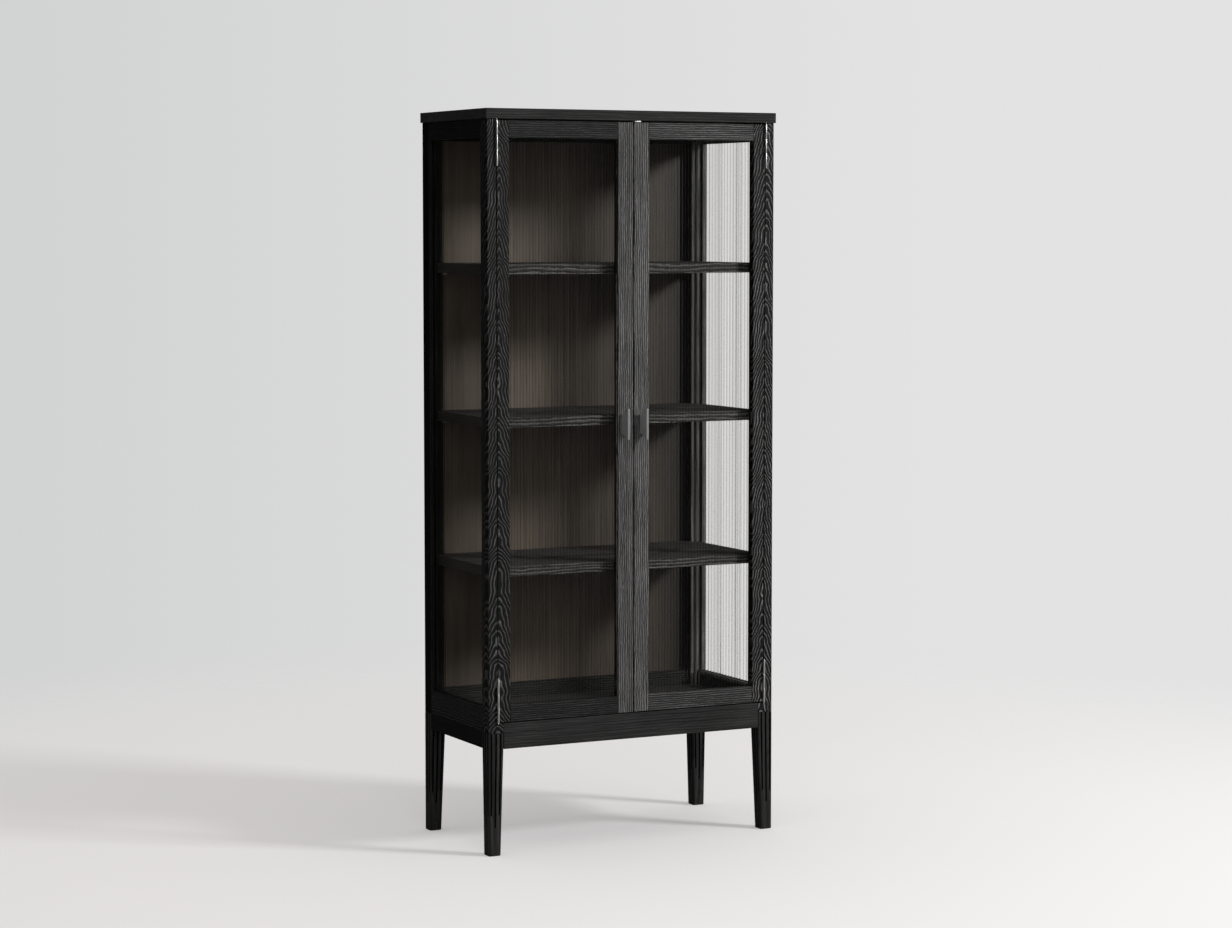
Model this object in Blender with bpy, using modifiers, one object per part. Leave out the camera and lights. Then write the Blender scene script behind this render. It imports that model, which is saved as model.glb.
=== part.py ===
"""A tall display cabinet: a glazed case on a base with four tapered legs, and two doors of reeded glass.

The front faces -Y, +X is to the right of a person who faces the doors, and the floor is at Z = 0.
X = 0 is the gap where the two doors meet. Lengths are in metres.
"""

import math

import bmesh
import bpy
from mathutils import Matrix, Vector

GAP = 0.0003  # clearance between pieces that touch

# Overall size
TOP_WIDTH = 0.800
TOP_DEPTH = 0.400
HEIGHT = 1.820
TOP_THICKNESS = 0.025
OVERHANG = 0.004
PULL_REACH = 0.025

# The case, whose front stands so far forward that the whole object is centred on Y = 0
CASE_HALF = TOP_WIDTH / 2 - OVERHANG
CASE_DEPTH = TOP_DEPTH - 2 * OVERHANG
FRONT = -(PULL_REACH + CASE_DEPTH + OVERHANG) / 2 + PULL_REACH
BACK = FRONT + CASE_DEPTH
CASE_TOP = HEIGHT - TOP_THICKNESS
CASE_FOOT = 0.302

# Posts and rails
POST = 0.040
SIDE_THICKNESS = 0.022
SIDE_TOP_RAIL = 0.045
SIDE_BOTTOM_RAIL = 0.062
FRONT_RAIL = 0.024
FRONT_RAIL_DEPTH = 0.022
BACK_RAIL_DEPTH = 0.022
BACK_REBATE = 0.010
BACK_REBATE_DEPTH = 0.008
BACK_THICKNESS = 0.006
FLOOR_THICKNESS = 0.018
EASED_EDGE = 0.0008
SHARP_ANGLE = math.radians(40)  # edges sharper than this are eased, and are not shaded smooth

# Shelves: the height of each underside
SHELF_UNDERSIDES = {"lower_shelf": 0.682, "middle_shelf": 1.047, "upper_shelf": 1.420}
SHELF_THICKNESS = 0.0245
SHELF_SETBACK = 0.030

# Glass and the rebates that hold it
GLASS = 0.005
REED_PITCH = 0.0084
REED_DEPTH = 0.0012
REED_STEPS = 4
REBATE = 0.008
SIDE_LIP = 0.009
DOOR_LIP = 0.012

# Doors
DOOR_THICKNESS = 0.022
DOOR_BOTTOM = 0.329
DOOR_TOP = 1.791
HINGE_EDGE = 0.3704
MEETING_EDGE = 0.0017
HINGE_STILE = 0.0322
MEETING_STILE = 0.0412
DOOR_RAIL = 0.0415
SEAM = 0.0230  # width of each front post that shows beside a door

# Hinges
HINGE_LENGTH = 0.106
HINGE_AXIS = 0.3717
BARREL_PROUD = 0.0032
KNUCKLE_RADIUS = 0.0026
KNUCKLE_GAP = 0.0004
PIN_RADIUS = 0.0012
PIN_BORE = 0.0015
PIN_TIP_RADIUS = 0.0019
PIN_TIP = 0.003
LEAF_THICKNESS = 0.0008
LEAF_OFFSET = 0.0002
LEAF_START = 0.0003
LEAF_END = 0.020

# Pulls: a foot on the stile that flares upward and downward into a thin front edge
PULL_X = 0.026
PULL_Z = 1.049
PULL_FOOT = (0.018, 0.050)
PULL_EDGE = (0.0055, 0.078)
PULL_ROUNDING = 0.001

# Catches
CATCH_SIZE = Vector((0.030, 0.016, 0.014))
CATCH_X = 0.023
CATCH_CLEARANCE = 0.0006
STRIKE_SIZE = Vector((0.026, 0.001, 0.014))
KEEPER_SIZE = Vector((0.016, 0.019, 0.0015))
KEEPER_X = 0.011
KEEPER_SETBACK = 0.0006

# Base, which stands a little proud of the case. A flute is given by its distance from the leg's
# outer corner and the height at which it ends.
BASE_PROUD = 0.0012
BASE_HALF = CASE_HALF + BASE_PROUD
BASE_FRONT = FRONT - BASE_PROUD
BASE_BACK = BACK + BASE_PROUD
APRON_HEIGHT = 0.039
APRON_THICKNESS = 0.020
APRON_BOTTOM = CASE_FOOT - APRON_HEIGHT
LEG_TOP = 0.041
LEG_FOOT = 0.0325
LEG_ROUNDING = 0.004
LEG_ROUNDING_STEPS = 3
FOOT_ROUNDING = 0.002
FOOT_ROUNDING_STEPS = 2
FLUTE_RADIUS = 0.0024
FLUTE_SIDES = 10
FLUTES = {0.0070: 0.100, 0.0195: 0.070, 0.0320: 0.100}

# Sides of the round pieces of a hinge
KNUCKLE_SIDES = 20
BORE_SIDES = 12
PIN_SIDES = 12
PIN_TIP_STEPS = 4

LEFT, RIGHT = -1, 1
SIDES = {"left": LEFT, "right": RIGHT}


# Scene and materials


def clear_scene():
    for old in list(bpy.data.objects):
        bpy.data.objects.remove(old, do_unlink=True)


def new_collection(name):
    collection = bpy.data.collections.new(name)
    bpy.context.scene.collection.children.link(collection)
    return collection


def new_material(name, colour, roughness, metallic=0.0, transmission=0.0):
    material = bpy.data.materials.new(name)
    material.use_nodes = True
    shader = material.node_tree.nodes["Principled BSDF"]
    shader.inputs["Base Color"].default_value = (*colour, 1.0)
    shader.inputs["Roughness"].default_value = roughness
    shader.inputs["Metallic"].default_value = metallic
    shader.inputs["Transmission Weight"].default_value = transmission
    material.diffuse_color = (*colour, 1.0)
    return material


def frame_wood():
    return new_material("frame_wood", (0.034, 0.032, 0.031), 0.48)


def shelf_wood():
    return new_material("shelf_wood", (0.028, 0.024, 0.022), 0.52)


def back_wood():
    return new_material("back_wood", (0.030, 0.024, 0.020), 0.60)


def reeded_glass():
    return new_material("reeded_glass", (0.80, 0.83, 0.82), 0.08, transmission=1.0)


def black_metal():
    return new_material("black_metal", (0.020, 0.020, 0.021), 0.30, metallic=0.2)


def bright_steel():
    return new_material("bright_steel", (0.62, 0.62, 0.60), 0.26, metallic=1.0)


def black_plastic():
    return new_material("black_plastic", (0.018, 0.018, 0.018), 0.55)


# Shapes


def add_mesh_object(name, bm, collection, place, material=None):
    """Makes an object from a bmesh whose points are relative to place."""
    mesh = bpy.data.meshes.new(name)
    bm.to_mesh(mesh)
    bm.free()
    obj = bpy.data.objects.new(name, mesh)
    obj.location = place
    collection.objects.link(obj)
    if material:
        mesh.materials.append(material)
    return obj


def box_between(name, low, high, collection, material=None):
    """A box from its lowest to its highest corner, with its origin at its centre."""
    low, high = Vector(low), Vector(high)
    size = high - low
    bm = bmesh.new()
    bmesh.ops.create_cube(bm, size=1.0, matrix=Matrix.Diagonal((*size, 1.0)))
    return add_mesh_object(name, bm, collection, (low + high) / 2, material)


def mirrored_box(name, side, low, high, collection, material=None):
    """A box given for the right-hand half, and placed on either side of X = 0."""
    near, far = side * low[0], side * high[0]
    low = (min(near, far), low[1], low[2])
    high = (max(near, far), high[1], high[2])
    return box_between(name, low, high, collection, material)


def cylinder_mesh(radius, length, segments, centre=(0, 0, 0), bm=None):
    bm = bm or bmesh.new()
    bmesh.ops.create_cone(
        bm,
        cap_ends=True,
        segments=segments,
        radius1=radius,
        radius2=radius,
        depth=length,
        matrix=Matrix.Translation(centre),
    )
    return bm


def as_tool(obj):
    obj.hide_render = True
    obj.display_type = "WIRE"
    return obj


def apply_tool(target, tool, operation="DIFFERENCE"):
    modifier = target.modifiers.new(f"{operation.lower()}_{tool.name}", "BOOLEAN")
    modifier.operation = operation
    modifier.object = tool
    return modifier


def cut_box(target, name, side, low, high):
    apply_tool(target, as_tool(mirrored_box(name, side, low, high, TOOLS)))


def ease_edges(obj, width=EASED_EDGE):
    modifier = obj.modifiers.new("eased_edges", "BEVEL")
    modifier.width = width
    modifier.segments = 1
    modifier.limit_method = "ANGLE"
    modifier.angle_limit = SHARP_ANGLE


def smooth_round_faces(obj):
    obj.data.shade_smooth()
    obj.data.set_sharp_from_angle(angle=SHARP_ANGLE)


# Case


def make_post(name, side, front):
    """A corner post. A front one is rebated for the door, and both kinds for the side pane."""
    start = FRONT if front else BACK - POST
    low = (CASE_HALF - POST, start, CASE_FOOT + GAP)
    high = (CASE_HALF, start + POST, CASE_TOP - GAP)
    post = mirrored_box(name, side, low, high, PARTS, WOOD)
    ease_edges(post)
    glass_from, glass_to = side_glass_heights()
    edge = start + POST if front else start
    inward = -REBATE if front else REBATE
    ends = sorted((edge + inward, edge + (REBATE if front else -REBATE)))
    cut_box(
        post,
        f"{name}_pane_rebate",
        side,
        (CASE_HALF - POST - REBATE, ends[0], glass_from - GAP),
        (CASE_HALF - SIDE_LIP, ends[1], glass_to + GAP),
    )
    if front:
        cut_box(
            post,
            f"{name}_door_rebate",
            side,
            (CASE_HALF - POST - REBATE, FRONT - REBATE, CASE_FOOT + FRONT_RAIL),
            (CASE_HALF - SEAM, FRONT + DOOR_THICKNESS + GAP, CASE_TOP + REBATE),
        )
    else:
        cut_box(
            post,
            f"{name}_back_rebate",
            side,
            (CASE_HALF - POST - REBATE, BACK - BACK_REBATE_DEPTH, back_panel_bottom() - GAP),
            (CASE_HALF - POST + BACK_REBATE, BACK + REBATE, back_panel_top() + GAP),
        )


def side_glass_heights():
    return (
        CASE_FOOT + SIDE_BOTTOM_RAIL - REBATE + GAP,
        CASE_TOP - SIDE_TOP_RAIL + REBATE - GAP,
    )


def make_side_rail(name, side, bottom, top, rebate_low, rebate_high):
    low = (CASE_HALF - SIDE_THICKNESS, FRONT + POST + GAP, bottom)
    high = (CASE_HALF, BACK - POST - GAP, top)
    rail = mirrored_box(name, side, low, high, PARTS, WOOD)
    ease_edges(rail)
    cut_box(
        rail,
        f"{name}_rebate",
        side,
        (CASE_HALF - SIDE_THICKNESS - REBATE, low[1] - REBATE, rebate_low),
        (CASE_HALF - SIDE_LIP, high[1] + REBATE, rebate_high),
    )


def reeded_outline(width):
    """The section of a reeded pane: a run of half-round ribs on the -Y side and a flat back."""
    count = round(width / REED_PITCH)
    pitch = width / count
    valley = -GLASS / 2 + REED_DEPTH
    points = []
    for step in range(count * REED_STEPS + 1):
        rise = abs(math.sin(math.pi * step / REED_STEPS))
        points.append((-width / 2 + pitch * step / REED_STEPS, valley - REED_DEPTH * rise))
    points.append((width / 2, GLASS / 2))
    points.append((-width / 2, GLASS / 2))
    return points


def make_pane(name, width, height, centre, turn):
    """A reeded pane: its section is a filled flat curve, extruded half the height each way."""
    curve = bpy.data.curves.new(name, "CURVE")
    curve.dimensions = "2D"
    curve.fill_mode = "BOTH"
    curve.extrude = height / 2
    outline = reeded_outline(width)
    spline = curve.splines.new("POLY")
    spline.points.add(len(outline) - 1)
    for point, (x, y) in zip(spline.points, outline):
        point.co = (x, y, 0.0, 1.0)
    spline.use_cyclic_u = True
    curve.materials.append(GLAZING)
    pane = bpy.data.objects.new(name, curve)
    pane.location = centre
    pane.rotation_euler = (0.0, 0.0, turn)
    PARTS.objects.link(pane)


def make_bead_frame(name, side, low, high, opening_low, opening_high):
    bead = mirrored_box(name, side, low, high, PARTS, WOOD)
    cut_box(bead, f"{name}_opening", side, opening_low, opening_high)


def make_side(word, side):
    """The rails, pane and glazing bead between the two posts of one side."""
    bottom = CASE_FOOT + SIDE_BOTTOM_RAIL
    top = CASE_TOP - SIDE_TOP_RAIL
    glass_from, glass_to = side_glass_heights()
    make_side_rail(
        f"{word}_side_bottom_rail", side, CASE_FOOT + GAP, bottom, glass_from - GAP, bottom + REBATE
    )
    make_side_rail(
        f"{word}_side_top_rail", side, top, CASE_TOP - GAP, top - REBATE, glass_to + GAP
    )
    start = FRONT + POST - REBATE + GAP
    end = BACK - POST + REBATE - GAP
    glass_outer = CASE_HALF - SIDE_LIP - GAP
    make_pane(
        f"{word}_side_glass",
        end - start,
        glass_to - glass_from,
        (side * (glass_outer - GLASS / 2), (start + end) / 2, (glass_from + glass_to) / 2),
        side * math.pi / 2,
    )
    bead_outer = glass_outer - GLASS - GAP
    bead_inner = CASE_HALF - SIDE_THICKNESS
    make_bead_frame(
        f"{word}_side_bead",
        side,
        (bead_inner, start, glass_from),
        (bead_outer, end, glass_to),
        (bead_inner - REBATE, FRONT + POST, bottom),
        (bead_outer + REBATE, BACK - POST, top),
    )


def back_panel_bottom():
    return CASE_FOOT + SIDE_BOTTOM_RAIL - BACK_REBATE + GAP


def back_panel_top():
    return CASE_TOP - SIDE_TOP_RAIL + BACK_REBATE - GAP


def make_back():
    """Two rails between the rear posts, and the thin panel in the rebates of rails and posts."""
    half = CASE_HALF - POST - GAP
    bottom = CASE_FOOT + SIDE_BOTTOM_RAIL
    top = CASE_TOP - SIDE_TOP_RAIL
    rails = {
        "back_bottom_rail": (CASE_FOOT + GAP, bottom, back_panel_bottom() - GAP, bottom + REBATE),
        "back_top_rail": (top, CASE_TOP - GAP, top - REBATE, back_panel_top() + GAP),
    }
    for name, (low, high, rebate_low, rebate_high) in rails.items():
        rail = box_between(name, (-half, BACK - BACK_RAIL_DEPTH, low), (half, BACK, high), PARTS, WOOD)
        ease_edges(rail)
        cut_box(
            rail,
            f"{name}_rebate",
            RIGHT,
            (-CASE_HALF, BACK - BACK_REBATE_DEPTH, rebate_low),
            (CASE_HALF, BACK + REBATE, rebate_high),
        )
    panel_half = CASE_HALF - POST + BACK_REBATE - GAP
    panel_front = BACK - BACK_REBATE_DEPTH + GAP
    box_between(
        "back_panel",
        (-panel_half, panel_front, back_panel_bottom()),
        (panel_half, panel_front + BACK_THICKNESS, back_panel_top()),
        PARTS,
        BACK_WOOD,
    )


def notch_corners(panel, low, high, front_notch):
    """Cuts a panel clear of the rear posts and, where it reaches them, of the front posts."""
    for word, side in SIDES.items():
        notches = {"rear": (BACK - POST - GAP, BACK)}
        if front_notch:
            notches["front"] = (FRONT, FRONT + POST + GAP)
        for place, (start, end) in notches.items():
            cut_box(
                panel,
                f"{panel.name}_{word}_{place}_notch",
                side,
                (CASE_HALF - POST - GAP, start, low - REBATE),
                (CASE_HALF, end, high + REBATE),
            )


def make_shelf(name, underside):
    half = CASE_HALF - SIDE_THICKNESS - GAP
    top = underside + SHELF_THICKNESS
    back = BACK - BACK_REBATE_DEPTH
    shelf = box_between(
        name, (-half, FRONT + SHELF_SETBACK, underside), (half, back, top), PARTS, SHELF_WOOD
    )
    notch_corners(shelf, underside, top, front_notch=True)


def make_floor():
    half = CASE_HALF - SIDE_THICKNESS - GAP
    top = CASE_FOOT + FRONT_RAIL
    front_rail = box_between(
        "front_bottom_rail",
        (-(CASE_HALF - POST - GAP), FRONT, CASE_FOOT + GAP),
        (CASE_HALF - POST - GAP, FRONT + FRONT_RAIL_DEPTH, top),
        PARTS,
        WOOD,
    )
    ease_edges(front_rail)
    low = (-half, FRONT + FRONT_RAIL_DEPTH + GAP, top - FLOOR_THICKNESS)
    high = (half, BACK - BACK_RAIL_DEPTH - GAP, top)
    panel = box_between("bottom_panel", low, high, PARTS, SHELF_WOOD)
    notch_corners(panel, low[2], high[2], front_notch=True)


def make_case():
    board = box_between(
        "top_board",
        (-TOP_WIDTH / 2, FRONT - OVERHANG, CASE_TOP),
        (TOP_WIDTH / 2, BACK + OVERHANG, HEIGHT),
        PARTS,
        WOOD,
    )
    ease_edges(board)
    for word, side in SIDES.items():
        make_post(f"front_{word}_post", side, front=True)
        make_post(f"rear_{word}_post", side, front=False)
        make_side(word, side)
    make_back()
    make_floor()
    for name, underside in SHELF_UNDERSIDES.items():
        make_shelf(name, underside)


# Base


def taper_below_apron(bm, outward, middle):
    """Draws what is below the apron toward the leg's outer corner, more and more down to the foot.

    The points are relative to the leg's centre, which is at the height middle.
    """
    start = APRON_BOTTOM - middle
    corner = outward * LEG_TOP / 2
    for vertex in bm.verts:
        drop = max(0.0, (start - vertex.co.z) / APRON_BOTTOM)
        kept = 1.0 - drop * (1.0 - LEG_FOOT / LEG_TOP)
        vertex.co.x = corner.x + (vertex.co.x - corner.x) * kept
        vertex.co.y = corner.y + (vertex.co.y - corner.y) * kept


def split_at_apron(bm, middle):
    bmesh.ops.bisect_plane(
        bm,
        geom=bm.verts[:] + bm.edges[:] + bm.faces[:],
        plane_co=(0, 0, APRON_BOTTOM - middle),
        plane_no=(0, 0, 1),
    )


def round_leg_edges(bm, edges, width, steps):
    bmesh.ops.bevel(
        bm, geom=edges, offset=width, segments=steps, affect="EDGES", profile=0.5, material=-1
    )


def leg_mesh(outward, height):
    """A square leg. Its two outer faces are plumb and its two inner faces taper to the foot."""
    bm = bmesh.new()
    bmesh.ops.create_cube(bm, size=1.0, matrix=Matrix.Diagonal((LEG_TOP, LEG_TOP, height, 1.0)))
    split_at_apron(bm, height / 2)
    taper_below_apron(bm, outward, height / 2)
    upright = [e for e in bm.edges if abs((e.verts[0].co - e.verts[1].co).z) > APRON_HEIGHT / 2]
    round_leg_edges(bm, upright, LEG_ROUNDING, LEG_ROUNDING_STEPS)
    sole = min(bm.faces, key=lambda face: face.calc_center_median().z)
    round_leg_edges(bm, sole.edges[:], FOOT_ROUNDING, FOOT_ROUNDING_STEPS)
    return bm


def flute_mesh(outward, middle):
    """The cutter for one leg's flutes: a row of round bars along each of its four faces."""
    half = LEG_TOP / 2
    top = CASE_FOOT + LEG_ROUNDING
    bm = bmesh.new()
    for inset, end in FLUTES.items():
        along = half - inset
        centre_z = (top + end) / 2 - middle
        for across in (-half, half):
            for x, y in ((outward.x * along, across), (across, outward.y * along)):
                cylinder_mesh(FLUTE_RADIUS, top - end, FLUTE_SIDES, (x, y, centre_z), bm)
    split_at_apron(bm, middle)
    taper_below_apron(bm, outward, middle)
    return bm


def make_leg(name, side, front):
    height = CASE_FOOT - GAP
    outward = Vector((side, -1 if front else 1, 0))
    y = BASE_FRONT + LEG_TOP / 2 if front else BASE_BACK - LEG_TOP / 2
    centre = Vector((side * (BASE_HALF - LEG_TOP / 2), y, height / 2))
    leg = add_mesh_object(name, leg_mesh(outward, height), PARTS, centre, WOOD)
    smooth_round_faces(leg)
    flutes = add_mesh_object(f"{name}_flutes", flute_mesh(outward, height / 2), TOOLS, centre)
    smooth_round_faces(flutes)
    apply_tool(leg, as_tool(flutes))


def make_base():
    for word, side in SIDES.items():
        make_leg(f"front_{word}_leg", side, front=True)
        make_leg(f"rear_{word}_leg", side, front=False)
        apron = mirrored_box(
            f"{word}_apron",
            side,
            (BASE_HALF - APRON_THICKNESS, BASE_FRONT + LEG_TOP + GAP, APRON_BOTTOM),
            (BASE_HALF, BASE_BACK - LEG_TOP - GAP, CASE_FOOT - GAP),
            PARTS,
            WOOD,
        )
        ease_edges(apron)
    half = BASE_HALF - LEG_TOP - GAP
    for name, start in {"front_apron": BASE_FRONT, "back_apron": BASE_BACK - APRON_THICKNESS}.items():
        low = (-half, start, APRON_BOTTOM)
        high = (half, start + APRON_THICKNESS, CASE_FOOT - GAP)
        ease_edges(box_between(name, low, high, PARTS, WOOD))


# Doors


def make_stile(name, side, near, far, rebate_near, rebate_far, parent):
    """An upright of a door, between two distances from X = 0, with a stopped rebate for the pane."""
    stile = mirrored_box(
        name,
        side,
        (near, FRONT, DOOR_BOTTOM),
        (far, FRONT + DOOR_THICKNESS, DOOR_TOP),
        PARTS,
        WOOD,
    )
    ease_edges(stile)
    cut_box(
        stile,
        f"{name}_rebate",
        side,
        (rebate_near, FRONT + DOOR_LIP, DOOR_BOTTOM + DOOR_RAIL - REBATE),
        (rebate_far, FRONT + DOOR_THICKNESS + REBATE, DOOR_TOP - DOOR_RAIL + REBATE),
    )
    keep_place_under(stile, parent)


def make_door_rail(name, side, low_z, high_z, rebate_low, rebate_high, parent):
    near = MEETING_EDGE + MEETING_STILE + GAP
    far = HINGE_EDGE - HINGE_STILE - GAP
    rail = mirrored_box(
        name, side, (near, FRONT, low_z), (far, FRONT + DOOR_THICKNESS, high_z), PARTS, WOOD
    )
    ease_edges(rail)
    cut_box(
        rail,
        f"{name}_rebate",
        side,
        (near - REBATE, FRONT + DOOR_LIP, rebate_low),
        (far + REBATE, FRONT + DOOR_THICKNESS + REBATE, rebate_high),
    )
    keep_place_under(rail, parent)


def keep_place_under(child, parent):
    """Parents a piece to the empty on its hinge axis without moving it."""
    child.parent = parent
    child.location = child.location - parent.location


def make_door(word, side):
    """One door, parented to an empty on its hinge axis."""
    pivot = bpy.data.objects.new(f"{word}_door_pivot", None)
    pivot.location = (side * HINGE_AXIS, FRONT - BARREL_PROUD, 0.0)
    PARTS.objects.link(pivot)

    opening_near = MEETING_EDGE + MEETING_STILE
    opening_far = HINGE_EDGE - HINGE_STILE
    opening_bottom = DOOR_BOTTOM + DOOR_RAIL
    opening_top = DOOR_TOP - DOOR_RAIL
    make_stile(
        f"{word}_door_hinge_stile",
        side,
        opening_far,
        HINGE_EDGE,
        opening_far - REBATE,
        opening_far + REBATE,
        pivot,
    )
    make_stile(
        f"{word}_door_meeting_stile",
        side,
        MEETING_EDGE,
        opening_near,
        opening_near - REBATE,
        opening_near + REBATE,
        pivot,
    )
    make_door_rail(
        f"{word}_door_bottom_rail",
        side,
        DOOR_BOTTOM,
        opening_bottom,
        opening_bottom - REBATE,
        opening_bottom + REBATE,
        pivot,
    )
    make_door_rail(
        f"{word}_door_top_rail",
        side,
        opening_top,
        DOOR_TOP,
        opening_top - REBATE,
        opening_top + REBATE,
        pivot,
    )

    near = opening_near - REBATE + GAP
    far = opening_far + REBATE - GAP
    bottom = opening_bottom - REBATE + GAP
    top = opening_top + REBATE - GAP
    glass_front = FRONT + DOOR_LIP + GAP
    centre = (side * (near + far) / 2, glass_front + GLASS / 2, (bottom + top) / 2)
    make_pane(f"{word}_door_glass", far - near, top - bottom, centre, 0.0)
    keep_place_under(PARTS.objects[f"{word}_door_glass"], pivot)

    bead_front = glass_front + GLASS + GAP
    make_bead_frame(
        f"{word}_door_bead",
        side,
        (near, bead_front, bottom),
        (far, FRONT + DOOR_THICKNESS - GAP, top),
        (opening_near, bead_front - REBATE, opening_bottom),
        (opening_far, FRONT + DOOR_THICKNESS + REBATE, opening_top),
    )
    keep_place_under(PARTS.objects[f"{word}_door_bead"], pivot)
    keep_place_under(make_pull(f"{word}_pull", side), pivot)
    keep_place_under(make_strike(f"{word}_strike_plate", side), pivot)
    for level, bottom_z in hinge_levels().items():
        keep_place_under(make_door_leaf(f"{word}_{level}_door_leaf", side, bottom_z), pivot)


def make_pull(name, side):
    """A solid pull: a foot that narrows forward to a thin edge while it flares up and down."""
    depth = PULL_REACH - GAP
    bm = bmesh.new()
    foot_size = (PULL_FOOT[0], depth, PULL_FOOT[1], 1.0)
    bmesh.ops.create_cube(bm, size=1.0, matrix=Matrix.Diagonal(foot_size))
    front_edge = [vertex for vertex in bm.verts if vertex.co.y < 0]
    flare = (PULL_EDGE[0] / PULL_FOOT[0], 1.0, PULL_EDGE[1] / PULL_FOOT[1])
    bmesh.ops.scale(bm, vec=flare, verts=front_edge)
    pull = add_mesh_object(
        name, bm, PARTS, (side * PULL_X, FRONT - GAP - depth / 2, PULL_Z), PULL_METAL
    )
    ease_edges(pull, PULL_ROUNDING)
    return pull


def make_strike(name, side):
    back = FRONT + DOOR_THICKNESS + GAP
    low = (CATCH_X - STRIKE_SIZE.x / 2, back, DOOR_TOP - STRIKE_SIZE.z)
    high = (CATCH_X + STRIKE_SIZE.x / 2, back + STRIKE_SIZE.y, DOOR_TOP)
    return mirrored_box(name, side, low, high, PARTS, STEEL)


# Hinges and catches


def hinge_levels():
    """The lower end of each hinge on a door."""
    return {"upper": DOOR_TOP - HINGE_LENGTH, "lower": DOOR_BOTTOM}


def knuckle_span(bottom, index):
    """The lowest and highest point of one of a hinge's three knuckles."""
    pitch = HINGE_LENGTH / 3
    return (
        bottom + index * pitch + (KNUCKLE_GAP / 2 if index > 0 else 0.0),
        bottom + (index + 1) * pitch - (KNUCKLE_GAP / 2 if index < 2 else 0.0),
    )


def make_leaf(name, side, bottom, plate_near, knuckles):
    """A leaf in the seam beside a door, with webs to its own knuckles, and a bore for the pin."""
    plate_far = plate_near + LEAF_THICKNESS
    leaf = mirrored_box(
        name,
        side,
        (plate_near, FRONT - LEAF_START, bottom),
        (plate_far, FRONT + LEAF_END, bottom + HINGE_LENGTH),
        PARTS,
        STEEL,
    )
    axis = Vector((side * HINGE_AXIS, FRONT - BARREL_PROUD, 0.0))
    for index in knuckles:
        low, high = knuckle_span(bottom, index)
        web = mirrored_box(
            f"{name}_web_{index}",
            side,
            (plate_near, axis.y, low),
            (plate_far, FRONT + LEAF_START, high),
            TOOLS,
        )
        apply_tool(leaf, as_tool(web), "UNION")
        barrel = cylinder_mesh(KNUCKLE_RADIUS, high - low, KNUCKLE_SIDES)
        place = axis + Vector((0, 0, (low + high) / 2))
        knuckle = add_mesh_object(f"{name}_knuckle_{index}", barrel, TOOLS, place)
        smooth_round_faces(knuckle)
        apply_tool(leaf, as_tool(knuckle), "UNION")
    drill = cylinder_mesh(PIN_BORE, HINGE_LENGTH + 2 * PIN_TIP, BORE_SIDES)
    place = axis + Vector((0, 0, bottom + HINGE_LENGTH / 2))
    bore = add_mesh_object(f"{name}_bore", drill, TOOLS, place)
    smooth_round_faces(bore)
    apply_tool(leaf, as_tool(bore))
    return leaf


def make_case_leaf(name, side, bottom):
    return make_leaf(name, side, bottom, HINGE_AXIS + LEAF_OFFSET, (0, 2))


def make_door_leaf(name, side, bottom):
    return make_leaf(name, side, bottom, HINGE_AXIS - LEAF_OFFSET - LEAF_THICKNESS, (1,))


def make_pin(name, side, bottom):
    """A turned pin with a rounded tip outside each end of the barrel."""
    half = HINGE_LENGTH / 2 + GAP
    profile = [(0.0, half + PIN_TIP)]
    for step in range(1, PIN_TIP_STEPS + 1):
        angle = math.pi / 2 * step / PIN_TIP_STEPS
        profile.append((PIN_TIP_RADIUS * math.sin(angle), half + PIN_TIP * math.cos(angle)))
    profile.append((PIN_RADIUS, half))
    profile += [(radius, -height) for radius, height in reversed(profile)]
    mesh = bpy.data.meshes.new(name)
    points = [(radius, 0.0, height) for radius, height in profile]
    mesh.from_pydata(points, [(i, i + 1) for i in range(len(points) - 1)], [])
    mesh.materials.append(STEEL)
    pin = bpy.data.objects.new(name, mesh)
    pin.location = (side * HINGE_AXIS, FRONT - BARREL_PROUD, bottom + HINGE_LENGTH / 2)
    PARTS.objects.link(pin)
    turn = pin.modifiers.new("turned", "SCREW")
    turn.steps = PIN_SIDES
    turn.render_steps = PIN_SIDES
    turn.use_merge_vertices = True
    turn.merge_threshold = 0.00001
    turn.use_smooth_shade = True


def make_hinges():
    for word, side in SIDES.items():
        for level, bottom in hinge_levels().items():
            make_case_leaf(f"{word}_{level}_case_leaf", side, bottom)
            make_pin(f"{word}_{level}_hinge_pin", side, bottom)


def make_catches():
    """The magnetic catches behind the doors' top corners, and the keeper plate over the right door."""
    start = FRONT + DOOR_THICKNESS + GAP + STRIKE_SIZE.y + CATCH_CLEARANCE
    for word, side in SIDES.items():
        low = (CATCH_X - CATCH_SIZE.x / 2, start, CASE_TOP - GAP - CATCH_SIZE.z)
        high = (CATCH_X + CATCH_SIZE.x / 2, start + CATCH_SIZE.y, CASE_TOP - GAP)
        mirrored_box(f"{word}_magnetic_catch", side, low, high, PARTS, PLASTIC)
    keeper_start = FRONT + KEEPER_SETBACK
    box_between(
        "keeper_plate",
        (KEEPER_X - KEEPER_SIZE.x / 2, keeper_start, CASE_TOP - GAP - KEEPER_SIZE.z),
        (KEEPER_X + KEEPER_SIZE.x / 2, keeper_start + KEEPER_SIZE.y, CASE_TOP - GAP),
        PARTS,
        STEEL,
    )


clear_scene()
PARTS = new_collection("display_cabinet")
TOOLS = new_collection("shaping_tools")
WOOD = frame_wood()
SHELF_WOOD = shelf_wood()
BACK_WOOD = back_wood()
GLAZING = reeded_glass()
PULL_METAL = black_metal()
STEEL = bright_steel()
PLASTIC = black_plastic()

make_case()
make_base()
make_hinges()
for door_word, door_side in SIDES.items():
    make_door(door_word, door_side)
make_catches()
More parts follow.
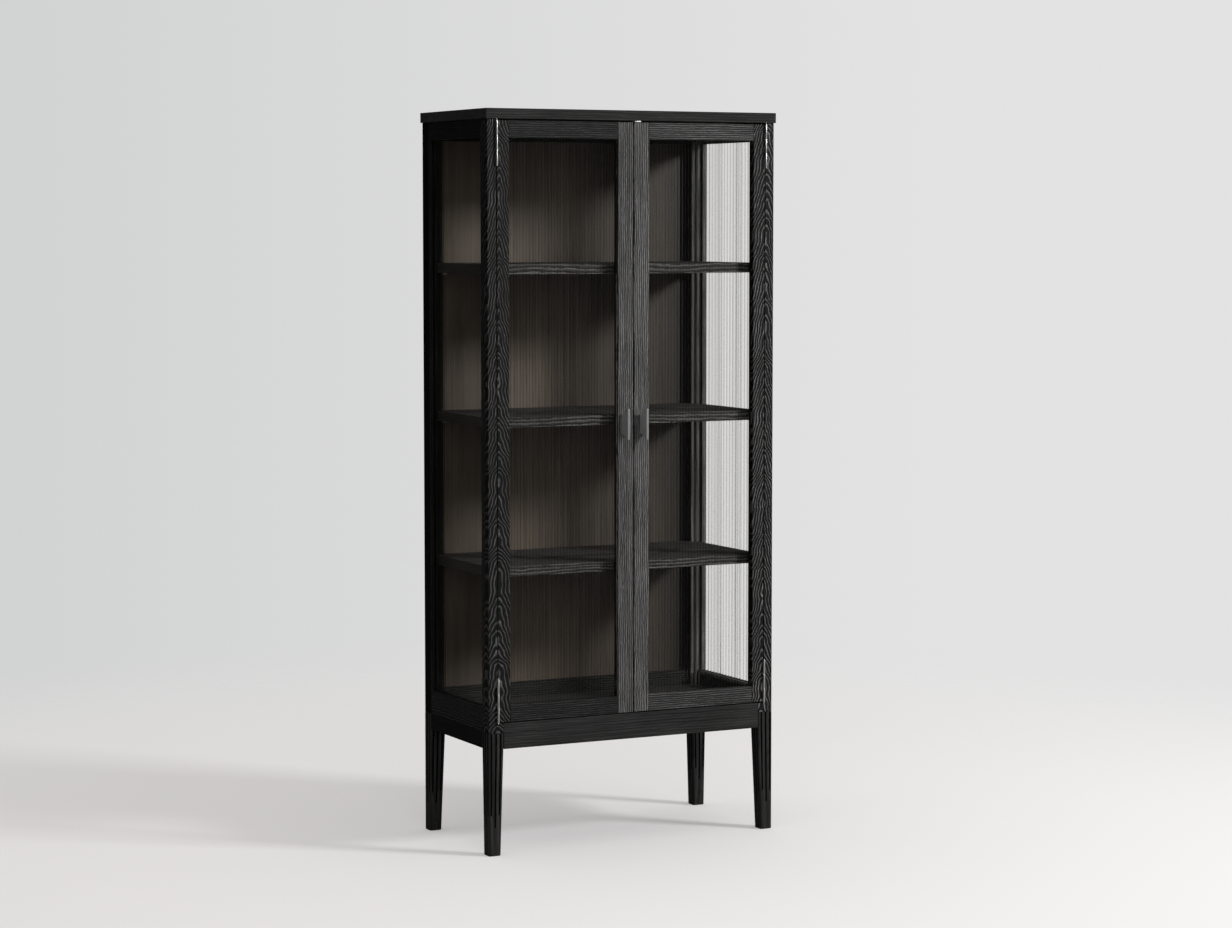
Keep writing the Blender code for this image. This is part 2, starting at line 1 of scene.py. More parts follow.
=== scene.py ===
# %% [markdown]
# # A tall display cabinet with reeded glass doors
# The cabinet is a case of black stained ash on four slim legs. Two framed doors and the two sides are
# glazed with reeded glass, and three shelves divide the inside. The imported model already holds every
# structural piece at its true size, so it is loaded as a fixed frame. It could be drawn again here, but
# then two models would have to agree: reading each piece's box from the frame keeps them as one.

import math

import bmesh
import bpy
from mathutils import Matrix, Vector


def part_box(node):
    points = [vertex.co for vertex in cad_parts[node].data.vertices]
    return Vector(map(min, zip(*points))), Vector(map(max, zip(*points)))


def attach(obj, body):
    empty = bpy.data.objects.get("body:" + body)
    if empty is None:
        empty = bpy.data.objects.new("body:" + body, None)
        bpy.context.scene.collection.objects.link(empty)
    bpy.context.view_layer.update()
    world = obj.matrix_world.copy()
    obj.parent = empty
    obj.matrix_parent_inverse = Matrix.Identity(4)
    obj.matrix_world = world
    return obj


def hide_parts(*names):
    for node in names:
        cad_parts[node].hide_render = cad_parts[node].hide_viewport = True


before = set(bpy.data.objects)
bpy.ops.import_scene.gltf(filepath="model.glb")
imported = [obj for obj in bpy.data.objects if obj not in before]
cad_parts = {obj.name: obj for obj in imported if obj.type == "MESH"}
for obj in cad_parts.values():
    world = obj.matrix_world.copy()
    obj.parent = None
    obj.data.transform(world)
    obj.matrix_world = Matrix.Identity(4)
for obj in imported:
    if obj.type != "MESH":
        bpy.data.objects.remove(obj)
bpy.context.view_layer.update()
MM = 0.001
SIDES = {"left": -1, "right": 1}

# %% [markdown]
# ## The camera
# A long lens from a good distance keeps the posts nearly parallel, as a furniture catalogue does. The
# camera stands to the left of the doors at eye height and looks slightly down.

# %% Set up the camera
CAMERA_PLACE = (-3.4663, -6.933, 1.5424)
CAMERA_PITCH = 85.528
CAMERA_HEADING = -26.86
CAMERA_LENS = 89.72
CAMERA_FILM_WIDTH = 36.0

camera_data = bpy.data.cameras.new("camera")
camera_data.sensor_width = CAMERA_FILM_WIDTH
camera_data.lens = CAMERA_LENS
camera = bpy.data.objects.new("camera", camera_data)
camera.location = CAMERA_PLACE
camera.rotation_euler = (math.radians(CAMERA_PITCH), 0.0, math.radians(CAMERA_HEADING))
bpy.context.scene.collection.objects.link(camera)
bpy.context.scene.camera = camera
bpy.context.scene.view_settings.view_transform = "Standard"
print("camera", round(Vector(CAMERA_PLACE).xy.length, 2), "m from the middle of the cabinet")

# %% [markdown]
# ## A short way to wire materials
# Materials here are node trees. Each node needs three lines when it is made by hand: make it, set it and
# link it. One helper does all three, so that a material reads as a list of what it is made of. A value
# goes on a socket as a number, and another node's output goes on it as a link. A mixing node keeps its
# colours on the sockets numbered 6 and 7, behind the ones for numbers and vectors.

# %% Helpers for node trees
def add(tree, kind, inputs=None, **settings):
    node = tree.nodes.new("ShaderNode" + kind)
    for name, value in settings.items():
        setattr(node, name, value)
    for socket, value in (inputs or {}).items():
        if isinstance(value, bpy.types.NodeSocket):
            tree.links.new(value, node.inputs[socket])
        else:
            node.inputs[socket].default_value = value
    return node


def new_material(name):
    material = bpy.data.materials.new(name)
    material.use_nodes = True
    tree = material.node_tree
    return material, tree, tree.nodes["Principled BSDF"]


def object_place(tree):
    return add(tree, "TexCoord").outputs["Object"]


def stretched(tree, vector, scale):
    return add(tree, "Mapping", {"Vector": vector, "Scale": scale}).outputs["Vector"]


def remap(tree, value, low, high, to_low=0.0, to_high=1.0):
    inputs = {"Value": value, "From Min": low, "From Max": high, "To Min": to_low, "To Max": to_high}
    return add(tree, "MapRange", inputs).outputs["Result"]


def calculate(tree, operation, *values):
    return add(tree, "Math", dict(enumerate(values)), operation=operation).outputs["Value"]


def likeness(tree, first, second):
    """How alike two directions are: 1 when they are the same, and 0 when they are square to each other."""
    return add(tree, "VectorMath", {0: first, 1: second}, operation="DOT_PRODUCT").outputs["Value"]


def opaque(colour):
    return colour if isinstance(colour, bpy.types.NodeSocket) else (*colour, 1.0)


def blend_colours(tree, factor, first, second):
    inputs = {0: factor, 6: opaque(first), 7: opaque(second)}
    return add(tree, "Mix", inputs, data_type="RGBA").outputs[2]


def scale_colour(tree, colour, factor):
    inputs = {0: colour, "Scale": factor}
    return add(tree, "VectorMath", inputs, operation="SCALE").outputs["Vector"]


print("node helpers ready")

# %% [markdown]
# ## Grain, wear and relief
# Three things make a surface look made and used. Its grain is noise, drawn out along the length of the
# fibres. Its edges are rubbed lighter by hands. And its grain stands up a little, so the light catches it.

# %% Helpers for surfaces
def noise(tree, vector, scale, detail=2.0, roughness=0.5):
    inputs = {"Vector": vector, "Scale": scale, "Detail": detail, "Roughness": roughness}
    return add(tree, "TexNoise", inputs).outputs["Fac"]


def drawn_out(tree, place, lengthwise, scale, detail=2.0, roughness=0.5):
    """Noise drawn out along Z: the smaller lengthwise is, the longer its streaks are."""
    return noise(tree, stretched(tree, place, (1.0, 1.0, lengthwise)), scale, detail, roughness)


def rounded_edge_wear(tree, radius, start, end):
    """How near a point is to an edge: 0 on the flats and 1 on the very edge."""
    rounded = add(tree, "Bevel", {"Radius": radius}, samples=4).outputs["Normal"]
    smooth = add(tree, "NewGeometry").outputs["Normal"]
    return remap(tree, likeness(tree, rounded, smooth), start, end)


def raise_relief(tree, shader, height, strength, distance):
    bump = add(tree, "Bump", {"Height": height, "Strength": strength, "Distance": distance})
    tree.links.new(bump.outputs["Normal"], shader.inputs["Normal"])


print("surface helpers ready")

# %% [markdown]
# ## Black stained ash
# Ash has wide growth rings. Wire brushing wears the soft early wood of each ring away and leaves the hard
# late wood standing, so the grain can be felt, and black stain then hides its colour but not its relief.
# A scanned image could show this, but one image repeats and looks the same on every rail. Here each board
# is cut from a trunk: rings are circles round a heart line, and where the heart lies beside or behind the
# board decides whether it shows straight grain or arches. The heart wanders a little, as it does in a tree.

# %% The trunk and its rings
GRAIN_TURNS = {
    "X": (0.0, math.pi / 2, 0.0),
    "Y": (-math.pi / 2, 0.0, 0.0),
    "Z": (0.0, 0.0, 0.0),
}
TRUNK_LEAN = 0.012
SWELLING_BREADTH = 1 / 3
RING_STRETCH = 0.40
RING_WAVE = 0.314  # a wave texture of this scale has one ring in each metre
BROAD_RINGS = {0.35: 0.12, 0.55: 0.55, 0.76: 1.0, 0.92: 0.45}
SHARP_RINGS = {0.50: 0.02, 0.66: 0.70, 0.80: 1.0, 0.92: 0.15}


def trunk_place(tree, along, heart):
    """Where a point lies in its trunk, whose centre line runs along Z through the heart."""
    turn = GRAIN_TURNS[along]
    inputs = {
        "Vector": object_place(tree),
        "Location": heart,
        "Rotation": (turn[0] + TRUNK_LEAN, turn[1] + TRUNK_LEAN / 2, turn[2]),
    }
    return add(tree, "Mapping", inputs, vector_type="TEXTURE").outputs["Vector"]


def swayed_place(tree, trunk, wander, wave, across):
    """The same place once the heart sways by wander. wave and across say how short each sway is."""
    slow = stretched(tree, trunk, (across, across, wave))
    sway = add(tree, "TexNoise", {"Vector": slow, "Scale": 1.0, "Detail": 3.0}).outputs["Color"]
    centred = add(tree, "VectorMath", {0: sway, 1: (0.5, 0.5, 0.5)}, operation="SUBTRACT")
    inputs = {0: centred.outputs["Vector"], 1: (wander, wander, 0.0), 2: trunk}
    return add(tree, "VectorMath", inputs, operation="MULTIPLY_ADD").outputs["Vector"]


def late_wood_rings(tree, trunk, swayed, ring, cone, taper, wave, across, profile):
    """How much late wood there is: 0 between two rings and 1 on one. The profile is a ring's section."""
    breadth = across * SWELLING_BREADTH
    swelling = noise(tree, stretched(tree, trunk, (breadth, breadth, wave)), 1.0, 3.0, 0.55)
    upward = add(tree, "SeparateXYZ", {"Vector": trunk}).outputs["Z"]
    swollen = calculate(tree, "MULTIPLY", swelling, cone)
    growth = calculate(tree, "ADD", swollen, calculate(tree, "MULTIPLY", upward, taper))
    inputs = {
        "Vector": stretched(tree, swayed, (1.0, 1.0, RING_STRETCH)),
        "Scale": RING_WAVE / ring,
        "Distortion": 2.2,
        "Detail": 2.0,
        "Detail Scale": 2.4,
        "Detail Roughness": 0.6,
        "Phase Offset": calculate(tree, "MULTIPLY", growth, math.tau / ring),
    }
    settings = {"wave_type": "RINGS", "rings_direction": "Z", "wave_profile": "SAW"}
    rings = add(tree, "TexWave", inputs, **settings).outputs["Fac"]
    ramp = add(tree, "ValToRGB", {"Fac": rings})
    ramp.color_ramp.elements[0].color = (0.0, 0.0, 0.0, 1.0)
    ramp.color_ramp.elements[1].color = (0.0, 0.0, 0.0, 1.0)
    for position, value in profile.items():
        step = ramp.color_ramp.elements.new(position)
        step.color = (value, value, value, 1.0)
    return ramp.outputs["Color"]


print("one kind of wood, cut along", sorted(GRAIN_TURNS))

# %% [markdown]
# A trunk isn't a true cylinder: it narrows upward by its taper, and its cone says how far it also swells
# and shrinks. That is what nests the arches on a board. The late wood carries fine fibres, the stain takes
# in streaks, and the open pores are small pits. The faces that don't look forward are painted darker, as
# painted shade: sides says how light they are beside the faces that look forward.

# %% A board cut from the trunk
EARLY_WOOD_TINT = (1.0, 0.985, 0.97)
LATE_WOOD_TINT = (1.0, 0.985, 0.975)
WORN_WOOD = (0.060, 0.058, 0.056)
WOOD_EDGE = 1.4 * MM
FORWARD = (0.0, -1.0, 0.0)
FIBRES = {"lengthwise": 0.022, "scale": 1100.0, "detail": 2.0, "roughness": 0.6}
STREAKS = {"lengthwise": 0.03, "scale": 190.0, "detail": 3.0, "roughness": 0.6}
PORES = {"lengthwise": 0.045, "scale": 700.0, "detail": 1.0}


def board_of_ash(
    name, along, heart, ring, wander, cone, taper, relief, wave, across,
    profile, dark, light, shine, gloss, tone, sides,
):
    """Brushed ash with the grain along one axis. heart is a point of the trunk's centre line."""
    material, tree, shader = new_material(name)
    trunk = trunk_place(tree, along, heart)
    swayed = swayed_place(tree, trunk, wander, wave, across)
    late_wood = late_wood_rings(tree, trunk, swayed, ring, cone, taper, wave, across, profile)
    fibres = drawn_out(tree, swayed, **FIBRES)
    streaks = drawn_out(tree, swayed, **STREAKS)
    pores = remap(tree, drawn_out(tree, swayed, **PORES), 0.58, 0.68)
    broad = noise(tree, object_place(tree), 5.0, 3.0)
    wear = rounded_edge_wear(tree, WOOD_EDGE, 0.97, 0.72)

    standing = calculate(tree, "MULTIPLY", late_wood, remap(tree, fibres, 0.30, 0.62, 0.45, 1.0))
    early_colour = Vector(EARLY_WOOD_TINT) * dark
    late_colour = Vector(LATE_WOOD_TINT) * light
    colour = blend_colours(tree, standing, early_colour, late_colour)
    shade = calculate(tree, "MULTIPLY", remap(tree, broad, 0.3, 0.7, 0.78, 1.25), tone)
    shade = calculate(tree, "MULTIPLY", shade, remap(tree, streaks, 0.3, 0.7, 0.62, 1.38))
    # painted shade: faces that don't look forward are darkened by the sides factor
    facing_forward = likeness(tree, add(tree, "NewGeometry").outputs["True Normal"], FORWARD)
    shade = calculate(tree, "MULTIPLY", shade, remap(tree, facing_forward, 0.5, 0.9, sides, 1.0))
    colour = scale_colour(tree, colour, shade)
    colour = blend_colours(tree, calculate(tree, "MULTIPLY", wear, 0.5), colour, WORN_WOOD)
    tree.links.new(colour, shader.inputs["Base Color"])

    shader.inputs["Specular IOR Level"].default_value = shine
    roughness = remap(tree, standing, 0.0, 1.0, *gloss)
    roughness = calculate(tree, "SUBTRACT", roughness, calculate(tree, "MULTIPLY", wear, 0.08))
    tree.links.new(roughness, shader.inputs["Roughness"])
    height = calculate(tree, "ADD", late_wood, calculate(tree, "MULTIPLY", fibres, 0.35))
    height = calculate(tree, "SUBTRACT", height, calculate(tree, "MULTIPLY", pores, 0.25))
    raise_relief(tree, shader, height, 1.0, relief)
    return material


print("ready to cut boards")

# %% [markdown]
# ## The other finishes
# The back is a thin panel with a finer vertical grain and a browner stain. Inside the case it is painted
# lighter toward the left and painted darker, as shade, into the rear right corner. Its outside is even.

# %% The back panel's wood
BACK_MIDDLE = sum(corner.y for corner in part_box("back_panel")) / 2
BACK_DARK = (0.0175, 0.0138, 0.0108)
BACK_LIGHT = (0.094, 0.073, 0.057)
BACK_STREAKS = {"lengthwise": 0.012, "scale": 170.0, "detail": 3.0, "roughness": 0.65}
BACK_FIBRES = {"lengthwise": 0.02, "scale": 900.0, "detail": 2.0, "roughness": 0.6}
BACK_CLOUDS = {"lengthwise": 0.25, "scale": 7.0, "detail": 2.0}
PAINTED_LIGHT_TO_LEFT = (-0.15, 0.20, 1.85, 1.05)  # from this x to that x, the painted light goes from here to there
# painted shade: from this x to that x, the inside goes dark into the rear right corner
PAINTED_SHADE_IN_RIGHT_CORNER = (0.262, 0.350, 1.0, 0.04)


def back_board(name):
    material, tree, shader = new_material(name)
    place = object_place(tree)
    streaks = drawn_out(tree, place, **BACK_STREAKS)
    fine = drawn_out(tree, place, **BACK_FIBRES)
    broad = drawn_out(tree, place, **BACK_CLOUDS)
    streaked = remap(tree, streaks, 0.3, 0.7, 0.0, 0.7)
    grain = calculate(tree, "ADD", streaked, remap(tree, fine, 0.3, 0.7, 0.0, 0.3))
    colour = blend_colours(tree, grain, BACK_DARK, BACK_LIGHT)
    colour = scale_colour(tree, colour, remap(tree, broad, 0.3, 0.7, 0.75, 1.2))
    where = add(tree, "SeparateXYZ", {"Vector": place}).outputs
    # painted light and shade on the inside face only: lighter toward the left, dark in the rear right corner
    painted_light = remap(tree, where["X"], *PAINTED_LIGHT_TO_LEFT)
    corner = remap(tree, where["X"], *PAINTED_SHADE_IN_RIGHT_CORNER)
    inside = remap(tree, where["Y"], BACK_MIDDLE - MM, BACK_MIDDLE + MM, 1.0, 0.0)
    painted_light_and_shade = calculate(tree, "SUBTRACT", calculate(tree, "MULTIPLY", painted_light, corner), 1.0)
    inside_light_and_shade = calculate(tree, "ADD", calculate(tree, "MULTIPLY", painted_light_and_shade, inside), 1.0)
    tree.links.new(scale_colour(tree, colour, inside_light_and_shade), shader.inputs["Base Color"])
    tree.links.new(remap(tree, fine, 0.3, 0.7, 0.62, 0.5), shader.inputs["Roughness"])
    raise_relief(tree, shader, grain, 0.8, 0.2 * MM)
    return material


back_panel_wood = back_board("brown_black_back")
print("made", back_panel_wood.name, "- its two faces part at y =", round(BACK_MIDDLE, 4))

# %% [markdown]
# The glass is clear with a faint warm tint. The valleys between its ribs are darkened, partly as dust and
# partly as painted shade, and each point carries how deep in a valley it lies. Light should reach the
# shelves through the glass, but a path tracer finds it only by luck through refracting glass. So a lamp's
# rays, and light on its way between two surfaces, pass straight through with a small loss. That costs
# nothing and leaves the look of the glass.
# Real glass would bend light by 1.5, but these ribs would then scramble everything behind them. The shelves
# are seen clearly through the doors, so the glass bends light only a little.

# %% Reeded glass
GLASS_BEND = 1.03
GLASS_COAT = {"Coat Weight": 0.25, "Coat Roughness": 0.02, "Coat IOR": 1.5}
GLASS_CLEAN = ((0.980, 0.976, 0.970), (0.998, 0.995, 0.990))
GLASS_VALLEY_DUST_AND_SHADE = (0.25, 0.24, 0.22)
VALLEY_EDGE = 1.3


def clear_reeded_glass(name, lamplight):
    """Reeded glass that lets this share of a lamp's light through."""
    material, tree, shader = new_material(name)
    film = noise(tree, object_place(tree), 9.0, 3.0)
    valley = add(tree, "Attribute", attribute_name="valley").outputs["Fac"]
    clean = blend_colours(tree, film, *GLASS_CLEAN)
    valley_dust_and_shade = calculate(tree, "POWER", valley, VALLEY_EDGE)
    # dust and painted shade in the valleys between the ribs
    tree.links.new(blend_colours(tree, valley_dust_and_shade, clean, GLASS_VALLEY_DUST_AND_SHADE), shader.inputs["Base Color"])
    settings = {"Transmission Weight": 1.0, "IOR": GLASS_BEND, "Roughness": 0.0, **GLASS_COAT}
    for socket, value in settings.items():
        shader.inputs[socket].default_value = value
    clear = add(tree, "BsdfTransparent", {"Color": (lamplight, lamplight, lamplight * 0.98, 1.0)})
    ray = add(tree, "LightPath").outputs
    lit = add(tree, "MixShader", {0: ray["Is Shadow Ray"], 1: shader.outputs[0], 2: clear.outputs[0]})
    mix = add(tree, "MixShader", {0: ray["Is Reflection Ray"], 1: lit.outputs[0], 2: clear.outputs[0]})
    tree.links.new(mix.outputs[0], tree.nodes["Material Output"].inputs["Surface"])
    return material


door_glazing = clear_reeded_glass("clear_reeded_glass", 0.93)
side_glazing = clear_reeded_glass("side_reeded_glass", 0.85)
print("made", door_glazing.name, "and", side_glazing.name)

# %% [markdown]
# The pulls are dark metal, given a lighter grey than their own colour as a painted reflection of the pale
# surroundings; the hinges are bright steel, the keeper pale zinc, and the catches moulded plastic. They
# differ in colour and gloss, but each is a fine surface with edges rubbed lighter, so one recipe makes all
# four. The steel is brushed lengthwise.

# %% Metals and plastic
BRUSHED = (1.0, 1.0, 0.08)
METAL_EDGE = 0.5 * MM


def fine_surface(name, dark, light, metallic, gloss, grain, relief, stretch=(1.0, 1.0, 1.0)):
    """A coated, brushed or moulded surface: fine grain, small changes of tone, and edges rubbed lighter."""
    material, tree, shader = new_material(name)
    place = object_place(tree)
    speckle = noise(tree, stretched(tree, place, stretch), grain, 2.0, 0.6)
    broad = noise(tree, place, 40.0, 3.0)
    wear = rounded_edge_wear(tree, METAL_EDGE, 0.95, 0.7)
    tone = calculate(tree, "MULTIPLY_ADD", speckle, 0.5, calculate(tree, "MULTIPLY", broad, 0.5))
    tone = calculate(tree, "ADD", tone, calculate(tree, "MULTIPLY", wear, 0.5))
    tree.links.new(blend_colours(tree, tone, dark, light), shader.inputs["Base Color"])
    shader.inputs["Metallic"].default_value = metallic
    tree.links.new(remap(tree, broad, 0.3, 0.7, *gloss), shader.inputs["Roughness"])
    raise_relief(tree, shader, speckle, 0.6, relief)
    return material


# painted reflection: the pulls' dark metal gets a lighter grey, standing in for the pale surroundings
# mirrored on its sides
pull_metal_painted_reflection = fine_surface(
    "dark_grey_metal", (0.20, 0.20, 0.203), (0.40, 0.40, 0.406),
    metallic=0.35, gloss=(0.40, 0.30), grain=2600.0, relief=0.03 * MM,
)
bright_steel = fine_surface(
    "bright_steel", (0.50, 0.50, 0.49), (0.80, 0.80, 0.78),
    metallic=1.0, gloss=(0.50, 0.40), grain=1500.0, relief=0.01 * MM, stretch=BRUSHED,
)
pale_zinc = fine_surface(
    "pale_zinc", (0.72, 0.72, 0.70), (0.92, 0.92, 0.90),
    metallic=0.15, gloss=(0.50, 0.40), grain=1500.0, relief=0.01 * MM, stretch=BRUSHED,
)
black_plastic = fine_surface(
    "black_plastic", (0.012, 0.012, 0.012), (0.03, 0.03, 0.03),
    metallic=0.0, gloss=(0.55, 0.45), grain=1800.0, relief=0.05 * MM,
)
print("made", [metal.name for metal in (pull_metal_painted_reflection, bright_steel, pale_zinc, black_plastic)])

# %% [markdown]
# ## Wood on the frame's own pieces
# The posts, rails, shelves and door frames have the right shape in the frame, so they keep it and get
# their wood. There are four looks. Bold boards show nested arches. Calm ones are straight-grained and deeply
# brushed. Smooth ones are sanded and take the stain evenly. Flat ones are the shelves, with a fine grain.
# The rear posts are smooth, and their side faces carry stronger painted shade.

# %% The looks of the boards
BOLD = {
    "ring": 7.4 * MM,
    "wander": 12 * MM,
    "cone": 90 * MM,
    "taper": 0.30,
    "relief": 3.0 * MM,
    "wave": 5.5,
    "across": 6.0,
    "shine": 0.25,
    "gloss": (0.66, 0.42),
    "profile": SHARP_RINGS,
    # painted shade on the faces that don't look forward
    "sides": 0.5,
    "dark": 0.003,
    "light": 0.42,
}
CALM = {
    "ring": 5.0 * MM,
    "wander": 9 * MM,
    "cone": 6 * MM,
    "taper": 0.01,
    "relief": 1.8 * MM,
    "wave": 6.0,
    "across": 22.0,
    "shine": 0.25,
    "gloss": (0.66, 0.42),
    "profile": BROAD_RINGS,
    "sides": 1.0,
    "dark": 0.003,
    "light": 0.050,
}
SMOOTH = {
    **CALM,
    "ring": 6.0 * MM,
    "relief": 0.25 * MM,
    "wave": 4.0,
    "dark": 0.013,
    "light": 0.027,
    "shine": 0.12,
    "gloss": (0.86, 0.74),
}
FLAT = {**CALM, "ring": 4.0 * MM, "relief": 0.6 * MM}
# stronger painted shade on the rear posts' side faces
REAR = {**SMOOTH, "sides": 0.2}


def wood_from(node, along, heart, **look):
    """Gives a node the wood of a board cut with its heart at this point."""
    node_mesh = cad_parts[node].data
    node_mesh.materials.clear()
    node_mesh.materials.append(board_of_ash(node + "_ash", along, heart, **look))


def wood_for(node, along, behind, beside, **look):
    """Gives a node its own board, with the heart that far behind its front and beside its middle."""
    low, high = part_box(node)
    middle = (low + high) / 2
    heart = Vector((middle.x + beside, low.y + behind, middle.z))
    if along == "X":
        heart = Vector((middle.x, low.y + behind, middle.z + beside))
    if along == "Y":
        heart = Vector((low.x + behind, middle.y, middle.z + beside))
    wood_from(node, along, heart, **look)


print("looks of wood ready: bold, calm, smooth, flat and rear")

# %% [markdown]
# A front post and the hinge stile beside it are cut from one plank, so the arches cross the seam between
# them: they share one heart, just behind their face. Every other board has its own heart, far to one side
# for straight grain. Each board has a tone: below 1 it is darker than its look, and above 1 lighter. The
# tones are partly stain that differs from board to board and partly painted light and shade: the right
# door, the meeting stiles and the boards beside the right side pane are painted lighter where the lamp
# falls on them, the left posts and the side rails and aprons are painted darker as shade, and the shelves
# are painted lighter to lift the shade inside.

# %% Cut a board for each piece
SEAM_HEART = 368 * MM
SEAM_HEART_DEPTH = 4 * MM
HEART_LEVELS = {"left": 1.15, "right": 0.60}
# painted light and shade: the right-hand boards are painted lighter where the lamp falls, the left ones
# darker
BOLD_TONES_WITH_PAINTED_LIGHT = {"left": 0.29, "right": 0.53}
DOOR_TONES_WITH_PAINTED_LIGHT = {"left": 1.0, "right": 3.3}
REAR_TONES_WITH_PAINTED_LIGHT = {"left": 0.5, "right": 6.0}
BEAD_TONES_WITH_PAINTED_LIGHT = {"left": 0.6, "right": 6.0}
# painted sheen: the meeting stiles are painted lighter
MEETING_PAINTED_SHEEN_TONE = 5.2
# painted shade: the side rails and aprons face away from the lamp and are painted darker
SIDE_RAIL_PAINTED_SHADE_TONE = 0.25
SIDE_APRON_PAINTED_SHADE_TONE = 0.35
DOOR_BEAD_TONE = 0.6
FRONT_TONE = 1.4
BACK_RAIL_TONE = 0.6
# painted light: the shelves are painted lighter to lift the shade inside the case
SHELF_PAINTED_LIGHT_TONE = 2.3
FRONT_HEARTS = {"top_board": 90, "front_apron": 50, "back_apron": 50, "front_bottom_rail": 40}

for word, side in SIDES.items():
    seam_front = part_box(f"front_{word}_post")[0].y
    heart = Vector((side * SEAM_HEART, seam_front + SEAM_HEART_DEPTH, HEART_LEVELS[word]))
    for node in (f"front_{word}_post", f"{word}_door_hinge_stile"):
        wood_from(node, "Z", heart, **BOLD, tone=BOLD_TONES_WITH_PAINTED_LIGHT[word])
    far_side = side * 70 * MM
    wood_for(f"rear_{word}_post", "Z", 20 * MM, far_side, **REAR, tone=REAR_TONES_WITH_PAINTED_LIGHT[word])
    wood_for(f"{word}_door_meeting_stile", "Z", 20 * MM, far_side, **CALM, tone=MEETING_PAINTED_SHEEN_TONE)
    wood_for(f"{word}_door_top_rail", "X", 25 * MM, 80 * MM, **CALM, tone=DOOR_TONES_WITH_PAINTED_LIGHT[word])
    wood_for(f"{word}_door_bottom_rail", "X", 20 * MM, -60 * MM, **CALM, tone=DOOR_TONES_WITH_PAINTED_LIGHT[word])
    wood_for(f"{word}_side_top_rail", "Y", 20 * MM, 60 * MM, **CALM, tone=SIDE_RAIL_PAINTED_SHADE_TONE)
    wood_for(f"{word}_side_bottom_rail", "Y", 30 * MM, -50 * MM, **CALM, tone=SIDE_RAIL_PAINTED_SHADE_TONE)
    wood_for(f"{word}_apron", "Y", 15 * MM, 50 * MM, **SMOOTH, tone=SIDE_APRON_PAINTED_SHADE_TONE)
    wood_for(f"{word}_side_bead", "Z", 40 * MM, 60 * MM, **SMOOTH, tone=BEAD_TONES_WITH_PAINTED_LIGHT[word])
    wood_for(f"{word}_door_bead", "Z", 40 * MM, 60 * MM, **SMOOTH, tone=DOOR_BEAD_TONE)
for node, beside in FRONT_HEARTS.items():
    wood_for(node, "X", 25 * MM, beside * MM, **SMOOTH, tone=FRONT_TONE)
for node in ("back_top_rail", "back_bottom_rail"):
    wood_for(node, "X", 30 * MM, 60 * MM, **CALM, tone=BACK_RAIL_TONE)
for number, node in enumerate(("bottom_panel", "lower_shelf", "middle_shelf", "upper_shelf")):
    wood_for(node, "X", (120 + 30 * number) * MM, -90 * MM, **FLAT, tone=SHELF_PAINTED_LIGHT_TONE)
back_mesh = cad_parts["back_panel"].data
back_mesh.materials.clear()
back_mesh.materials.append(back_panel_wood)
print("boards cut:", len([m for m in bpy.data.materials if m.name.endswith("_ash")]))

# %% [markdown]
# ## Turning a bmesh into a piece
# Every new piece ends the same way: its faces are turned outwards, it becomes an object at the origin, its
# round faces are shaded smooth, and it is hung on a body of the frame so that it moves with it.

# %% Finish a piece
def mesh_object(name, bm, slots=0):
    mesh = bpy.data.meshes.new(name)
    bm.to_mesh(mesh)
    bm.free()
    for _ in range(slots):
        mesh.materials.append(None)
    obj = bpy.data.objects.new(name, mesh)
    bpy.context.scene.collection.objects.link(obj)
    return obj


def finish_piece(name, bm, material, body, replaced=(), crease=35.0):
    """Makes the piece. replaced lists the frame's nodes that it stands in for."""
    bmesh.ops.recalc_face_normals(bm, faces=bm.faces)
    piece = mesh_object(name, bm)
    piece.data.materials.append(material)
    piece.data.shade_smooth()
    piece.data.set_sharp_from_angle(angle=math.radians(crease))
    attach(piece, body)
    if replaced:
        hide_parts(*replaced)
    return piece


print("ready to finish pieces")

# %% [markdown]
# Three shapes come back again and again: a box with rounded edges, a round bar and a screw head. The
# edges are always rounded with a bevel, because a sharp edge catches no light.

# %% Blocks, bars and screw heads
SCREW_SIDES = 18
NO_LENGTH = 0.01 * MM


def block(bm, low, high):
    """A box from its lowest to its highest corner, as a list of its points."""
    low = Vector(low)
    high = Vector(high)
    size = Matrix.Diagonal((*(high - low), 1.0))
    made = bmesh.ops.create_cube(bm, size=1.0, matrix=Matrix.Translation((low + high) / 2) @ size)
    return made["verts"]


def edges_of(points):
    return list(dict.fromkeys(edge for point in points for edge in point.link_edges))


def round_edges(bm, edges, width, segments):
    return bmesh.ops.bevel(
        bm, geom=edges, offset=width, segments=segments, affect="EDGES", profile=0.5, material=-1
    )


def rounded_block(bm, low, high, width, segments=3):
    points = block(bm, low, high)
    round_edges(bm, edges_of(points), width, segments)


def bar(bm, radius, length, sides, place, end_radius=None):
    """A round bar along the Z axis of its place, as a list of its points."""
    made = bmesh.ops.create_cone(
        bm,
        cap_ends=True,
        segments=sides,
        radius1=radius,
        radius2=radius if end_radius is None else end_radius,
        depth=length,
        matrix=place,
    )
    return made["verts"]


def screw_head(bm, place, facing, radius, height):
    """A low countersunk head with a dished middle and a small recess."""
    turn = Vector((0, 0, 1)).rotation_difference(Vector(facing)).to_matrix().to_4x4()
    stand = Matrix.Translation(place) @ turn
    points = bar(bm, radius, 2 * height, SCREW_SIDES, stand, end_radius=radius * 0.92)
    faces = {face for point in points for face in point.link_faces}
    top = max(faces, key=lambda face: face.calc_center_median().dot(Vector(facing)))
    bmesh.ops.inset_individual(bm, faces=[top], thickness=radius * 0.45, depth=0.0)
    bmesh.ops.inset_individual(bm, faces=[top], thickness=radius * 0.06, depth=-0.9 * height)


print("blocks, bars and screw heads ready")

